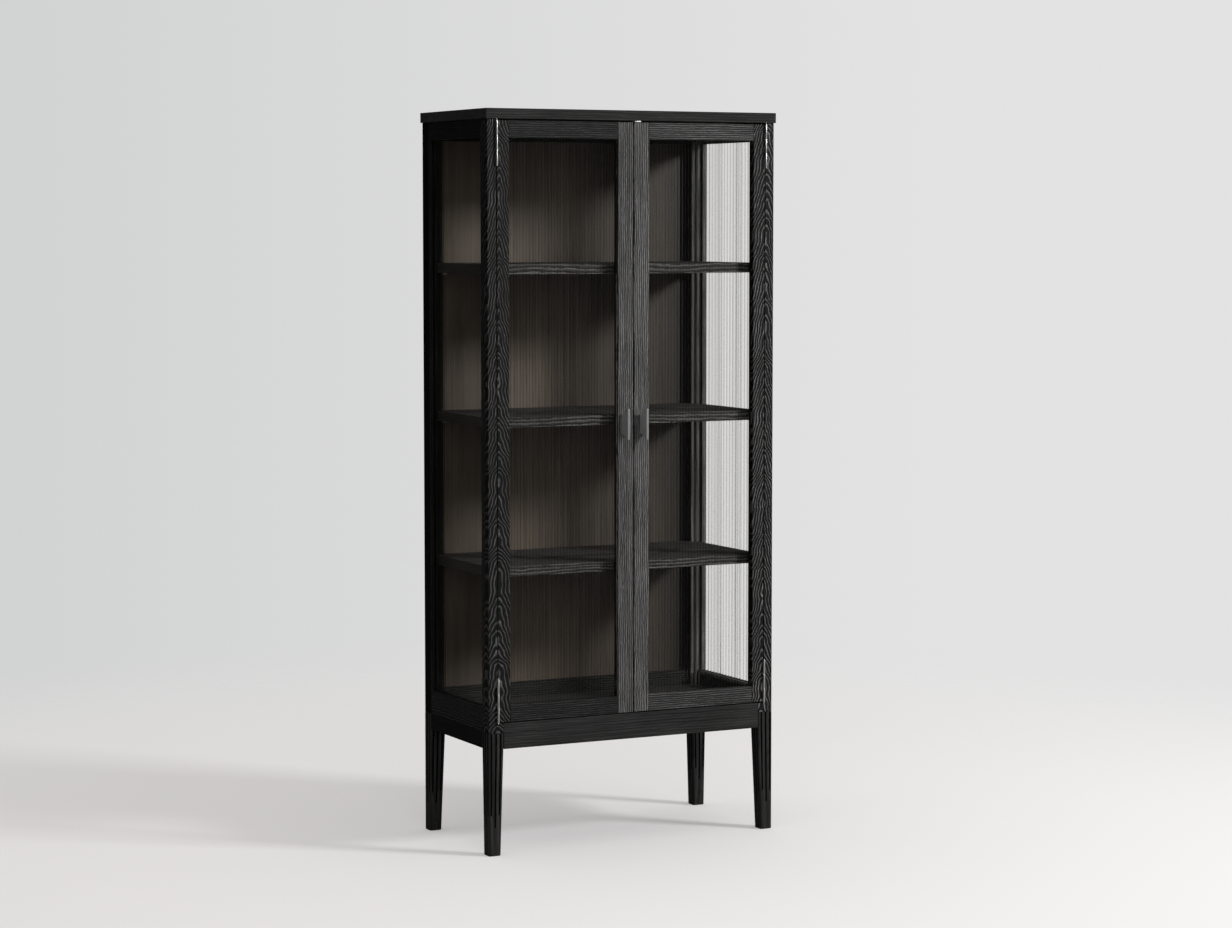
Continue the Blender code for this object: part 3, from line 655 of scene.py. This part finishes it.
# %% [markdown]
# ## Reeded glass
# The panes are rolled glass: flat at the back, with a run of half-round ribs on the face. A bump pattern
# could fake the ribs, but real ones bend what stands behind them and catch the light at each crest. One rib
# is a point spun about the rib's centre. The ribs stand side by side, the outline is closed along the flat
# back, filled, and raised to the height of the pane. Each point of the ribs is then told how deep in a
# valley it is.

# %% Draw one pane
REED_PITCH = 8.4 * MM
REED_DEPTH = 1.2 * MM
REED_STEPS = 10


def ribbed_outline(bm, width, thickness, count):
    """The outline of a pane seen from above, with its ribs toward -Y."""
    pitch = width / count
    radius = (pitch * pitch / 4 + REED_DEPTH * REED_DEPTH) / (2 * REED_DEPTH)
    spread = 2 * math.asin(pitch / 2 / radius)
    for rib in range(count):
        crest = -width / 2 + (rib + 0.5) * pitch
        centre = Vector((crest, -thickness / 2 + radius, 0.0))
        start = bm.verts.new((crest - pitch / 2, -thickness / 2 + REED_DEPTH, 0.0))
        bmesh.ops.spin(bm, geom=[start], cent=centre, axis=(0, 0, 1), angle=spread, steps=REED_STEPS)
    bmesh.ops.remove_doubles(bm, verts=bm.verts, dist=NO_LENGTH)
    ends = sorted((v for v in bm.verts if len(v.link_edges) == 1), key=lambda v: v.co.x)
    back = [bm.verts.new((end.co.x, thickness / 2, 0.0)) for end in ends]
    bm.edges.new((ends[0], back[0]))
    bm.edges.new((back[0], back[1]))
    bm.edges.new((back[1], ends[1]))


def reeded_pane(name, node, body, turn, glazing, shade):
    """A pane whose ribs face the -Y side before it is turned about Z and set in the node's box."""
    low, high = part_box(node)
    size = high - low
    width = size.x if turn == 0.0 else size.y
    thickness = size.y if turn == 0.0 else size.x
    count = round(width / REED_PITCH)
    bm = bmesh.new()
    ribbed_outline(bm, width, thickness, count)
    bmesh.ops.contextual_create(bm, geom=bm.edges[:])
    raised = bmesh.ops.extrude_face_region(bm, geom=bm.faces[:])["geom"]
    top = [item for item in raised if isinstance(item, bmesh.types.BMVert)]
    bmesh.ops.translate(bm, vec=(0, 0, size.z), verts=top)
    valley = bm.verts.layers.float.new("valley")
    for vertex in bm.verts:
        if vertex.co.y < thickness / 2 - REED_DEPTH:
            vertex[valley] = shade * (vertex.co.y + thickness / 2) / REED_DEPTH
    place = Matrix.Translation(((low.x + high.x) / 2, (low.y + high.y) / 2, low.z))
    bmesh.ops.transform(bm, matrix=place @ Matrix.Rotation(turn, 4, "Z"), verts=bm.verts)
    pane = finish_piece(name, bm, glazing, body, [node], crease=40.0)
    print(name, count, "ribs", len(pane.data.polygons), "faces")


print("ribs every", round(REED_PITCH / MM, 1), "mm, and", round(REED_DEPTH / MM, 1), "mm deep")

# %% Make the four panes
DOOR_SHADE = 0.80
SIDE_SHADE = 0.60

for word, side in SIDES.items():
    outward = side * math.pi / 2
    reeded_pane(f"{word}_door_pane", f"{word}_door_glass", f"{word}_door", 0.0, door_glazing, DOOR_SHADE)
    reeded_pane(f"{word}_side_pane", f"{word}_side_glass", "root", outward, side_glazing, SIDE_SHADE)

# %% [markdown]
# ## The legs
# Each leg is square at the top, where the aprons meet it, and its two inner faces taper to the foot. Its
# corners are rounded, and shallow flutes run down its four faces and die out above the floor. The flutes
# could be drawn as dark lines, but their rounded ends and ridges show at the silhouette of the leg, so round
# bars with round ends are cut out of it. Their walls take a darker wood, as painted shade in the flutes.

# %% Tools for the legs
LEG_FOOT_WIDTH = 32.5 * MM
CORNER_ROUNDING = 5 * MM
CORNER_STEPS = 5
FLUTE_RADIUS = 2.7 * MM
FLUTE_SIDES = 20
FLUTE_DOME = 0.96  # a bevel as wide as the bar's radius would close its end to a point
FLUTES = {7.0 * MM: 0.100, 19.5 * MM: 0.070, 32.0 * MM: 0.100}  # inset from the corner: lower end
APRON_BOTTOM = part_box("front_apron")[0].z


def split_and_taper(bm, corner, width):
    """Splits a shape at the apron and draws what is below toward the outer corner, down to the foot."""
    everything = bm.verts[:] + bm.edges[:] + bm.faces[:]
    bmesh.ops.bisect_plane(bm, geom=everything, plane_co=(0, 0, APRON_BOTTOM), plane_no=(0, 0, 1))
    for vertex in bm.verts:
        drop = max(0.0, 1.0 - vertex.co.z / APRON_BOTTOM)
        kept = 1.0 - drop * (1.0 - LEG_FOOT_WIDTH / width)
        vertex.co.x = corner.x + (vertex.co.x - corner.x) * kept
        vertex.co.y = corner.y + (vertex.co.y - corner.y) * kept


def flute_bars(low, high, corner, outward):
    """Round bars with domed lower ends, along the four faces of a leg before it tapers."""
    bm = bmesh.new()
    for inset, end in FLUTES.items():
        along = corner - outward * inset
        length = high.z + CORNER_ROUNDING - end
        for x, y in ((along.x, low.y), (along.x, high.y), (low.x, along.y), (high.x, along.y)):
            place = Matrix.Translation((x, y, end + length / 2))
            points = bar(bm, FLUTE_RADIUS, length, FLUTE_SIDES, place)
            rim = [e for e in edges_of(points) if all(v.co.z < end + MM for v in e.verts)]
            round_edges(bm, rim, FLUTE_RADIUS * FLUTE_DOME, CORNER_STEPS)
    return bm


def carve(bm, tool_bm):
    """The first shape with the second cut out of it. The cut's faces take the second material slot."""
    for face in tool_bm.faces:
        face.material_index = 1
    target = mesh_object("target", bm, slots=2)
    tool = mesh_object("tool", tool_bm, slots=2)
    cut = target.modifiers.new("cut", "BOOLEAN")
    cut.operation = "DIFFERENCE"
    cut.solver = "EXACT"
    cut.object = tool
    carved = bmesh.new()
    carved.from_object(target, bpy.context.evaluated_depsgraph_get())
    bpy.data.objects.remove(target)
    bpy.data.objects.remove(tool)
    return carved


print("flutes on each face of a leg:", len(FLUTES))

# %% Shape the four legs
FOOT_ROUNDING = 2.5 * MM
FOOT_STEPS = 4
LEG_HEART_INSET = 30 * MM
LEG_HEART_DEPTH = 45 * MM
LEG_HEART_LEVEL = 0.15
LEG_TONE = 1.25
# painted shade: the flutes' walls are darkened to this tone
FLUTE_PAINTED_SHADE_TONE = 0.10


def leg(name, outward):
    low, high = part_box(name)
    width = high.x - low.x
    corner = Vector((high.x if outward.x > 0 else low.x, high.y if outward.y > 0 else low.y))
    bm = bmesh.new()
    block(bm, low, high)
    split_and_taper(bm, corner, width)
    upright = [e for e in bm.edges if abs(e.verts[0].co.z - e.verts[1].co.z) > 30 * MM]
    round_edges(bm, upright, CORNER_ROUNDING, CORNER_STEPS)
    sole = min(bm.faces, key=lambda face: face.calc_center_median().z)
    round_edges(bm, sole.edges[:], FOOT_ROUNDING, FOOT_STEPS)
    bars = flute_bars(low, high, corner, outward)
    split_and_taper(bars, corner, width)
    carved = carve(bm, bars)
    heart_x = (low.x + high.x) / 2 + LEG_HEART_INSET * outward.x
    heart = Vector((heart_x, (low.y + high.y) / 2 + LEG_HEART_DEPTH, LEG_HEART_LEVEL))
    wood = board_of_ash(name + "_ash", "Z", heart, **SMOOTH, tone=LEG_TONE)
    made = finish_piece(name + "_fluted", carved, wood, "root", [name], crease=38.0)
    # the second material is the painted shade on the flutes' walls
    made.data.materials.append(board_of_ash(name + "_flute_shade_ash", "Z", heart, **SMOOTH, tone=FLUTE_PAINTED_SHADE_TONE))
    print(made.name, len(made.data.polygons), "faces")


for word, side in SIDES.items():
    leg(f"front_{word}_leg", Vector((side, -1)))
    leg(f"rear_{word}_leg", Vector((side, 1)))

# %% [markdown]
# ## The pulls
# Each door has one small pull by the meeting edge: a foot on the stile that narrows forward and flares up
# and down into a thin upright edge for the fingertips. A box with one scaled face gives straight sides, so
# the box gets a few rings along its depth first, and each ring is scaled a little more than the last.

# %% Shape the two pulls
PULL_FOOT = (18 * MM, 50 * MM)
PULL_EDGE = (5.5 * MM, 78 * MM)
PULL_RINGS = 9
PULL_ROUNDING = 1.2 * MM
PULL_CORNER = math.radians(50)


def pull(name, body):
    """A box one metre wide and high, whose rings are then scaled to the pull's true sections."""
    low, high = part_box(name)
    middle = (low + high) / 2
    depth = high.y - low.y
    bm = bmesh.new()
    block(bm, (middle.x - 0.5, low.y, middle.z - 0.5), (middle.x + 0.5, high.y, middle.z + 0.5))
    depthwise = [e for e in bm.edges if abs(e.verts[0].co.y - e.verts[1].co.y) > depth / 2]
    bmesh.ops.subdivide_edges(bm, edges=depthwise, cuts=PULL_RINGS, use_grid_fill=True)
    for vertex in bm.verts:
        forward = (high.y - vertex.co.y) / depth
        flare = forward * forward * (1.5 - 0.5 * forward)
        width = PULL_FOOT[0] + (PULL_EDGE[0] - PULL_FOOT[0]) * forward
        height = PULL_FOOT[1] + (PULL_EDGE[1] - PULL_FOOT[1]) * flare
        vertex.co.x = middle.x + (vertex.co.x - middle.x) * width
        vertex.co.z = middle.z + (vertex.co.z - middle.z) * height
    corners = [e for e in bm.edges if len(e.link_faces) == 2 and e.calc_face_angle() > PULL_CORNER]
    round_edges(bm, corners, PULL_ROUNDING, 4)
    made = finish_piece(name + "_flared", bm, pull_metal_painted_reflection, body, [name], crease=40.0)
    print(made.name, len(made.data.polygons), "faces")


for word in SIDES:
    pull(f"{word}_pull", f"{word}_door")

# %% [markdown]
# ## Hinges
# A butt hinge stands in the seam at the top and bottom of each door. Only the slim barrel shows while the
# door is closed: three knuckles, two on the case and one on the door, round one pin with a turned tip at
# each end. The knuckles are cylinders with eased rims, so that the joints between them show as fine lines.
# The leaves carry small countersunk screws, which show when a door stands open.

# %% A leaf and a pin
PIN_RADIUS = 1.2 * MM
PIN_TIP_RADIUS = 1.9 * MM
PIN_TIP_GAP = 0.3 * MM
KNUCKLE_RADIUS = 2.6 * MM
KNUCKLE_JOINT = 0.4 * MM
KNUCKLE_SIDES = 28
NECK = 0.5 * MM
NECK_INSET = 0.3 * MM
LEAF_OFFSET = 0.2 * MM
LEAF_THICKNESS = 0.8 * MM
LEAF_SCREWS = 3
LEAF_SCREW_RADIUS = 2.6 * MM
LEAF_SCREW_HEIGHT = 0.08 * MM
LEAF_SCREW_SHIFT = 2 * MM
LEAF_EASE = 0.15 * MM
KNUCKLE_EASE = 0.35 * MM
PIN_EASE = 0.2 * MM
PIN_TIP_EASE = 1.1 * MM


def turned(bm, radius, low, high, axis, ease):
    """A round bar along Z with eased ends."""
    place = Matrix.Translation((axis.x, axis.y, (low + high) / 2))
    points = bar(bm, radius, high - low, KNUCKLE_SIDES, place)
    rims = [e for e in edges_of(points) if abs(e.verts[0].co.z - e.verts[1].co.z) < NO_LENGTH]
    round_edges(bm, rims, ease, 2)


def hinge_leaf(node, body, axis, outward, knuckles, foot, third):
    """One leaf: a plate on the outward side of the pin, its knuckles and its screws."""
    low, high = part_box(node)
    inner = axis.x + outward * LEAF_OFFSET
    outer = inner + outward * LEAF_THICKNESS
    left = min(inner, outer)
    right = max(inner, outer)
    bm = bmesh.new()
    plate_low = (left, axis.y + KNUCKLE_RADIUS, low.z)
    rounded_block(bm, plate_low, (right, high.y, high.z), LEAF_EASE, 1)
    for index in knuckles:
        bottom = foot + index * third + (KNUCKLE_JOINT / 2 if index else 0.0)
        top = foot + (index + 1) * third - (KNUCKLE_JOINT / 2 if index < 2 else 0.0)
        turned(bm, KNUCKLE_RADIUS, bottom, top, axis, KNUCKLE_EASE)
        neck_high = (right, axis.y + KNUCKLE_RADIUS + NECK, top - NECK_INSET)
        block(bm, (left, axis.y, bottom + NECK_INSET), neck_high)
    screw_y = (axis.y + high.y) / 2 + LEAF_SCREW_SHIFT
    for number in range(LEAF_SCREWS):
        height = low.z + (high.z - low.z) * (number + 0.5) / LEAF_SCREWS
        facing = (-outward, 0.0, 0.0)
        screw_head(bm, (inner, screw_y, height), facing, LEAF_SCREW_RADIUS, LEAF_SCREW_HEIGHT)
    finish_piece(node + "_steel", bm, bright_steel, body, [node])


def hinge_pin(name, node, axis, foot, head):
    """The pin, whose turned tips stand just clear of the knuckles' foot and head."""
    low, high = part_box(node)
    bm = bmesh.new()
    turned(bm, PIN_RADIUS, low.z + MM, high.z - MM, axis, PIN_EASE)
    turned(bm, PIN_TIP_RADIUS, low.z, foot - PIN_TIP_GAP, axis, PIN_TIP_EASE)
    turned(bm, PIN_TIP_RADIUS, head + PIN_TIP_GAP, high.z, axis, PIN_TIP_EASE)
    finish_piece(name, bm, bright_steel, "root", [node])


print("knuckles are", round(2 * KNUCKLE_RADIUS / MM, 1), "mm across")

# %% Make the four hinges
def hinge(word, level, side):
    pin = f"{word}_{level}_hinge_pin"
    case_leaf = f"{word}_{level}_case_leaf"
    pin_low, pin_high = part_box(pin)
    axis = (pin_low + pin_high) / 2
    case_low, case_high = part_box(case_leaf)
    third = (case_high.z - case_low.z) / 3
    hinge_leaf(case_leaf, "root", axis, side, (0, 2), case_low.z, third)
    hinge_leaf(f"{word}_{level}_door_leaf", f"{word}_door", axis, -side, (1,), case_low.z, third)
    hinge_pin(f"{word}_{level}_pin_steel", pin, axis, case_low.z, case_high.z)


for word, side in SIDES.items():
    for level in ("upper", "lower"):
        hinge(word, level, side)
print("hinges: 4")

# %% [markdown]
# ## Catches and keeper
# A magnetic catch sits under the top board behind the corner of each door: a small plastic housing with two
# steel poles. A thin steel plate on the back of the door meets it. Over the meeting edge of the right door a
# bright zinc keeper is let in under the board, with a small lip at its front that catches the light. They
# are small, so each is a block with rounded edges and its own details.

# %% Catches and strike plates
POLE_INSET = 5 * MM
POLE_PROUD = 0.25 * MM
POLE_DEPTH = 2 * MM
POLE_HEIGHT = 1.5 * MM
POLE_SPACING = 3 * MM
CATCH_ROUNDING = 1.2 * MM
CATCH_SCREW_SPACING = 11 * MM
CATCH_SCREW = (2.0 * MM, 0.3 * MM)
STRIKE_SCREW = (2.4 * MM, 0.25 * MM)


def catch(word):
    low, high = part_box(f"{word}_magnetic_catch")
    middle = (low + high) / 2
    bm = bmesh.new()
    rounded_block(bm, low, high, CATCH_ROUNDING)
    replaced = [f"{word}_magnetic_catch"]
    finish_piece(f"{word}_catch_housing", bm, black_plastic, "root", replaced)
    bm = bmesh.new()
    for step in (-1, 1):
        pole_top = middle.z + step * POLE_SPACING
        pole_low = (low.x + POLE_INSET, low.y - POLE_PROUD, pole_top - POLE_HEIGHT)
        pole_high = (high.x - POLE_INSET, low.y + POLE_DEPTH, pole_top)
        rounded_block(bm, pole_low, pole_high, 0.2 * MM, 1)
    for step in (-1, 1):
        place = (middle.x + step * CATCH_SCREW_SPACING, middle.y, low.z)
        screw_head(bm, place, (0, 0, -1), *CATCH_SCREW)
    finish_piece(f"{word}_catch_poles", bm, bright_steel, "root")


def strike(word):
    node = f"{word}_strike_plate"
    low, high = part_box(node)
    middle = (low + high) / 2
    bm = bmesh.new()
    rounded_block(bm, low, high, 0.3 * MM, 2)
    screw_head(bm, (middle.x, high.y, middle.z), (0, 1, 0), *STRIKE_SCREW)
    finish_piece(f"{word}_strike_steel", bm, bright_steel, f"{word}_door", [node])


for word in SIDES:
    catch(word)
    strike(word)
print("catches: 2, strikes: 2")

# %% The keeper
KEEPER_LIP = 3.4 * MM
KEEPER_LIP_HEIGHT = 2.7 * MM
KEEPER_ROUNDING = 0.4 * MM

low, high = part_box("keeper_plate")
bm = bmesh.new()
rounded_block(bm, low, high, KEEPER_ROUNDING, 2)
lip_low = (low.x, low.y - KEEPER_LIP, high.z - KEEPER_LIP_HEIGHT)
rounded_block(bm, lip_low, (high.x, low.y + MM, high.z), KEEPER_ROUNDING, 2)
keeper = finish_piece("keeper_steel", bm, pale_zinc, "root", ["keeper_plate"])
print("keeper:", len(keeper.data.polygons), "faces")

# %% [markdown]
# ## Shelf pins
# Each shelf rests on four steel pins that stand in the inner faces of the posts. A pin is a short bar with a
# collar against the wood.

# %% Shelf pins
SHELF_PIN_RADIUS = 2.5 * MM
SHELF_PIN_REACH = 9 * MM
SHELF_PIN_COLLAR = 4.0 * MM
SHELF_PIN_COLLAR_REACH = 1.5 * MM
SHELF_PIN_PARTS = ((SHELF_PIN_COLLAR, SHELF_PIN_COLLAR_REACH), (SHELF_PIN_RADIUS, SHELF_PIN_REACH))
SHELF_PIN_GAP = 0.2 * MM
FRONT_PIN_INSET = 8 * MM
REAR_PIN_INSET = 10 * MM


def shelf_pin(bm, face, side, y, underside):
    for radius, reach in SHELF_PIN_PARTS:
        middle = (face - side * reach / 2, y, underside - SHELF_PIN_RADIUS - SHELF_PIN_GAP)
        lying = Matrix.Translation(middle) @ Matrix.Rotation(math.pi / 2, 4, "Y")
        points = bar(bm, radius, reach, SCREW_SIDES, lying)
        rims = [e for e in edges_of(points) if abs(e.verts[0].co.x - e.verts[1].co.x) < NO_LENGTH]
        round_edges(bm, rims, 0.3 * MM, 1)


bm = bmesh.new()
for shelf in ("lower_shelf", "middle_shelf", "upper_shelf"):
    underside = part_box(shelf)[0].z
    for word, side in SIDES.items():
        for place in ("front", "rear"):
            low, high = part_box(f"{place}_{word}_post")
            face = low.x if side > 0 else high.x
            y = high.y - FRONT_PIN_INSET if place == "front" else low.y + REAR_PIN_INSET
            shelf_pin(bm, face, side, y, underside)
pins = finish_piece("shelf_pins", bm, bright_steel, "root")
print("shelf pins:", len(pins.data.polygons), "faces")

# %% [markdown]
# ## The studio
# The cabinet stands on a plain pale floor that fades into the backdrop. The floor glows faintly where it is
# seen, so that it stays pale in the cabinet's shadow, but it throws little light back onto the dark wood.

# %% The floor
FLOOR_RADIUS = 9.0
FADE_START = 1.3
FADE_END = 3.8
FLOOR_GLOW = 0.26
FLOOR_GLOW_COLOUR = (1.0, 0.99, 0.99, 1.0)
FLOOR_SEEN = (0.50, 0.495, 0.495)
FLOOR_BOUNCED = (0.22, 0.22, 0.22)


def pale_floor(name):
    material, tree, shader = new_material(name)
    bounced = add(tree, "LightPath").outputs["Is Reflection Ray"]
    tree.links.new(blend_colours(tree, bounced, FLOOR_SEEN, FLOOR_BOUNCED), shader.inputs["Base Color"])
    shader.inputs["Emission Color"].default_value = FLOOR_GLOW_COLOUR
    tree.links.new(remap(tree, bounced, 0.0, 1.0, FLOOR_GLOW, 0.0), shader.inputs["Emission Strength"])
    shader.inputs["Roughness"].default_value = 0.9
    shader.inputs["Specular IOR Level"].default_value = 0.1
    far = add(tree, "VectorMath", {0: object_place(tree)}, operation="LENGTH").outputs["Value"]
    inputs = {"Value": far, "From Min": FADE_START, "From Max": FADE_END}
    fade = add(tree, "MapRange", inputs, interpolation_type="SMOOTHSTEP").outputs["Result"]
    clear = add(tree, "BsdfTransparent")
    mix = add(tree, "MixShader", {0: fade, 1: shader.outputs[0], 2: clear.outputs[0]})
    tree.links.new(mix.outputs[0], tree.nodes["Material Output"].inputs["Surface"])
    return material


bm = bmesh.new()
bmesh.ops.create_circle(bm, cap_ends=True, segments=96, radius=FLOOR_RADIUS)
floor = mesh_object("floor", bm)
floor.data.materials.append(pale_floor("pale_floor"))
print("floor:", 2 * FLOOR_RADIUS, "m across, faded out from", FADE_END, "m")

# %% [markdown]
# The backdrop is a plain pale grey, a little lighter to the right. What lights the cabinet isn't the
# backdrop: an ambient light grows stronger overhead, and shiny things mirror one upright bright strip at the
# right and a faint glow ahead. The world tells these apart by the kind of ray that reaches it.

# %% Surroundings
BACKDROP_RIGHT = (0.892, -0.452, 0.0)
BACKDROP_LEFT_COLOUR = (0.640, 0.645, 0.645)
BACKDROP_RIGHT_COLOUR = (0.765, 0.765, 0.765)
UP = (0.0, 0.0, 1.0)
AMBIENT_STRENGTHS = (0.08, 1.30)
AMBIENT_COLOUR = (1.0, 0.965, 0.95, 1.0)
STRIP_WAY = (0.905, -0.425, 0.0)
STRIP_EDGES = (0.93, 0.98)
STRIP_STRENGTH = 0.40
GLOW_WAY = (0.60, -0.70, 0.38)
GLOW_STRENGTHS = (0.01, 0.10)
WHITE = (1.0, 1.0, 1.0, 1.0)

world = bpy.data.worlds.new("surroundings")
bpy.context.scene.world = world
world.use_nodes = True
tree = world.node_tree
direction = add(tree, "TexCoord").outputs["Generated"]
rightward = remap(tree, likeness(tree, direction, BACKDROP_RIGHT), -0.2, 0.1)
backdrop = blend_colours(tree, rightward, BACKDROP_LEFT_COLOUR, BACKDROP_RIGHT_COLOUR)
plain = tree.nodes["Background"]
tree.links.new(backdrop, plain.inputs["Color"])

height = remap(tree, likeness(tree, direction, UP), 0.0, 1.0)
overhead = remap(tree, calculate(tree, "POWER", height, 2.0), 0.0, 1.0, *AMBIENT_STRENGTHS)
ambient = add(tree, "Background", {"Color": AMBIENT_COLOUR, "Strength": overhead})
strip = remap(tree, likeness(tree, direction, STRIP_WAY), *STRIP_EDGES)
glow = remap(tree, likeness(tree, direction, GLOW_WAY), 0.0, 1.0, *GLOW_STRENGTHS)
mirrored = calculate(tree, "MULTIPLY_ADD", strip, STRIP_STRENGTH, glow)
glossy = add(tree, "Background", {"Color": WHITE, "Strength": mirrored})

ray = add(tree, "LightPath").outputs
unseen = add(tree, "MixShader", {0: ray["Is Glossy Ray"], 1: ambient.outputs[0], 2: glossy.outputs[0]})
inputs = {0: ray["Is Reflection Ray"], 1: plain.outputs[0], 2: unseen.outputs[0]}
surround = add(tree, "MixShader", inputs)
tree.links.new(surround.outputs[0], tree.nodes["World Output"].inputs["Surface"])
print("surroundings:", len(tree.nodes), "nodes")

# %% [markdown]
# One key lamp stands high to the right of the doors. It lights the front and throws a soft shadow to the
# left. A weak, broad fill lamp to the left of the doors lifts the dark wood, and leaves no glint on it.

# %% Lamps
LAMP_AIM = Vector((0.0, 0.0, 0.9))
LAMP_DISTANCE = 7.0


def lamp(name, heading, elevation, size, power, colour):
    """A square lamp. Its heading is measured from the front towards the right of the cabinet."""
    data = bpy.data.lights.new(name, "AREA")
    data.shape = "RECTANGLE"
    data.size = size
    data.size_y = size
    data.energy = power
    data.color = colour
    turn = math.radians(heading)
    rise = math.radians(elevation)
    away = Vector((math.sin(turn) * math.cos(rise), -math.cos(turn) * math.cos(rise), math.sin(rise)))
    obj = bpy.data.objects.new(name, data)
    obj.location = LAMP_AIM + away * LAMP_DISTANCE
    obj.rotation_mode = "QUATERNION"
    obj.rotation_quaternion = away.to_track_quat("Z", "Y")
    obj.visible_camera = False
    obj.visible_transmission = False
    bpy.context.scene.collection.objects.link(obj)
    return obj


lamp("key_lamp", heading=46.0, elevation=26.0, size=1.2, power=380.0, colour=(1.0, 1.0, 1.0))
fill = lamp("fill_lamp", heading=-20.0, elevation=12.0, size=3.0, power=90.0, colour=(1.0, 0.99, 0.98))
fill.visible_glossy = False
print("lamps:", len(bpy.data.lights))

# %% [markdown]
# ## Finish

# %% Finish
print("finished")
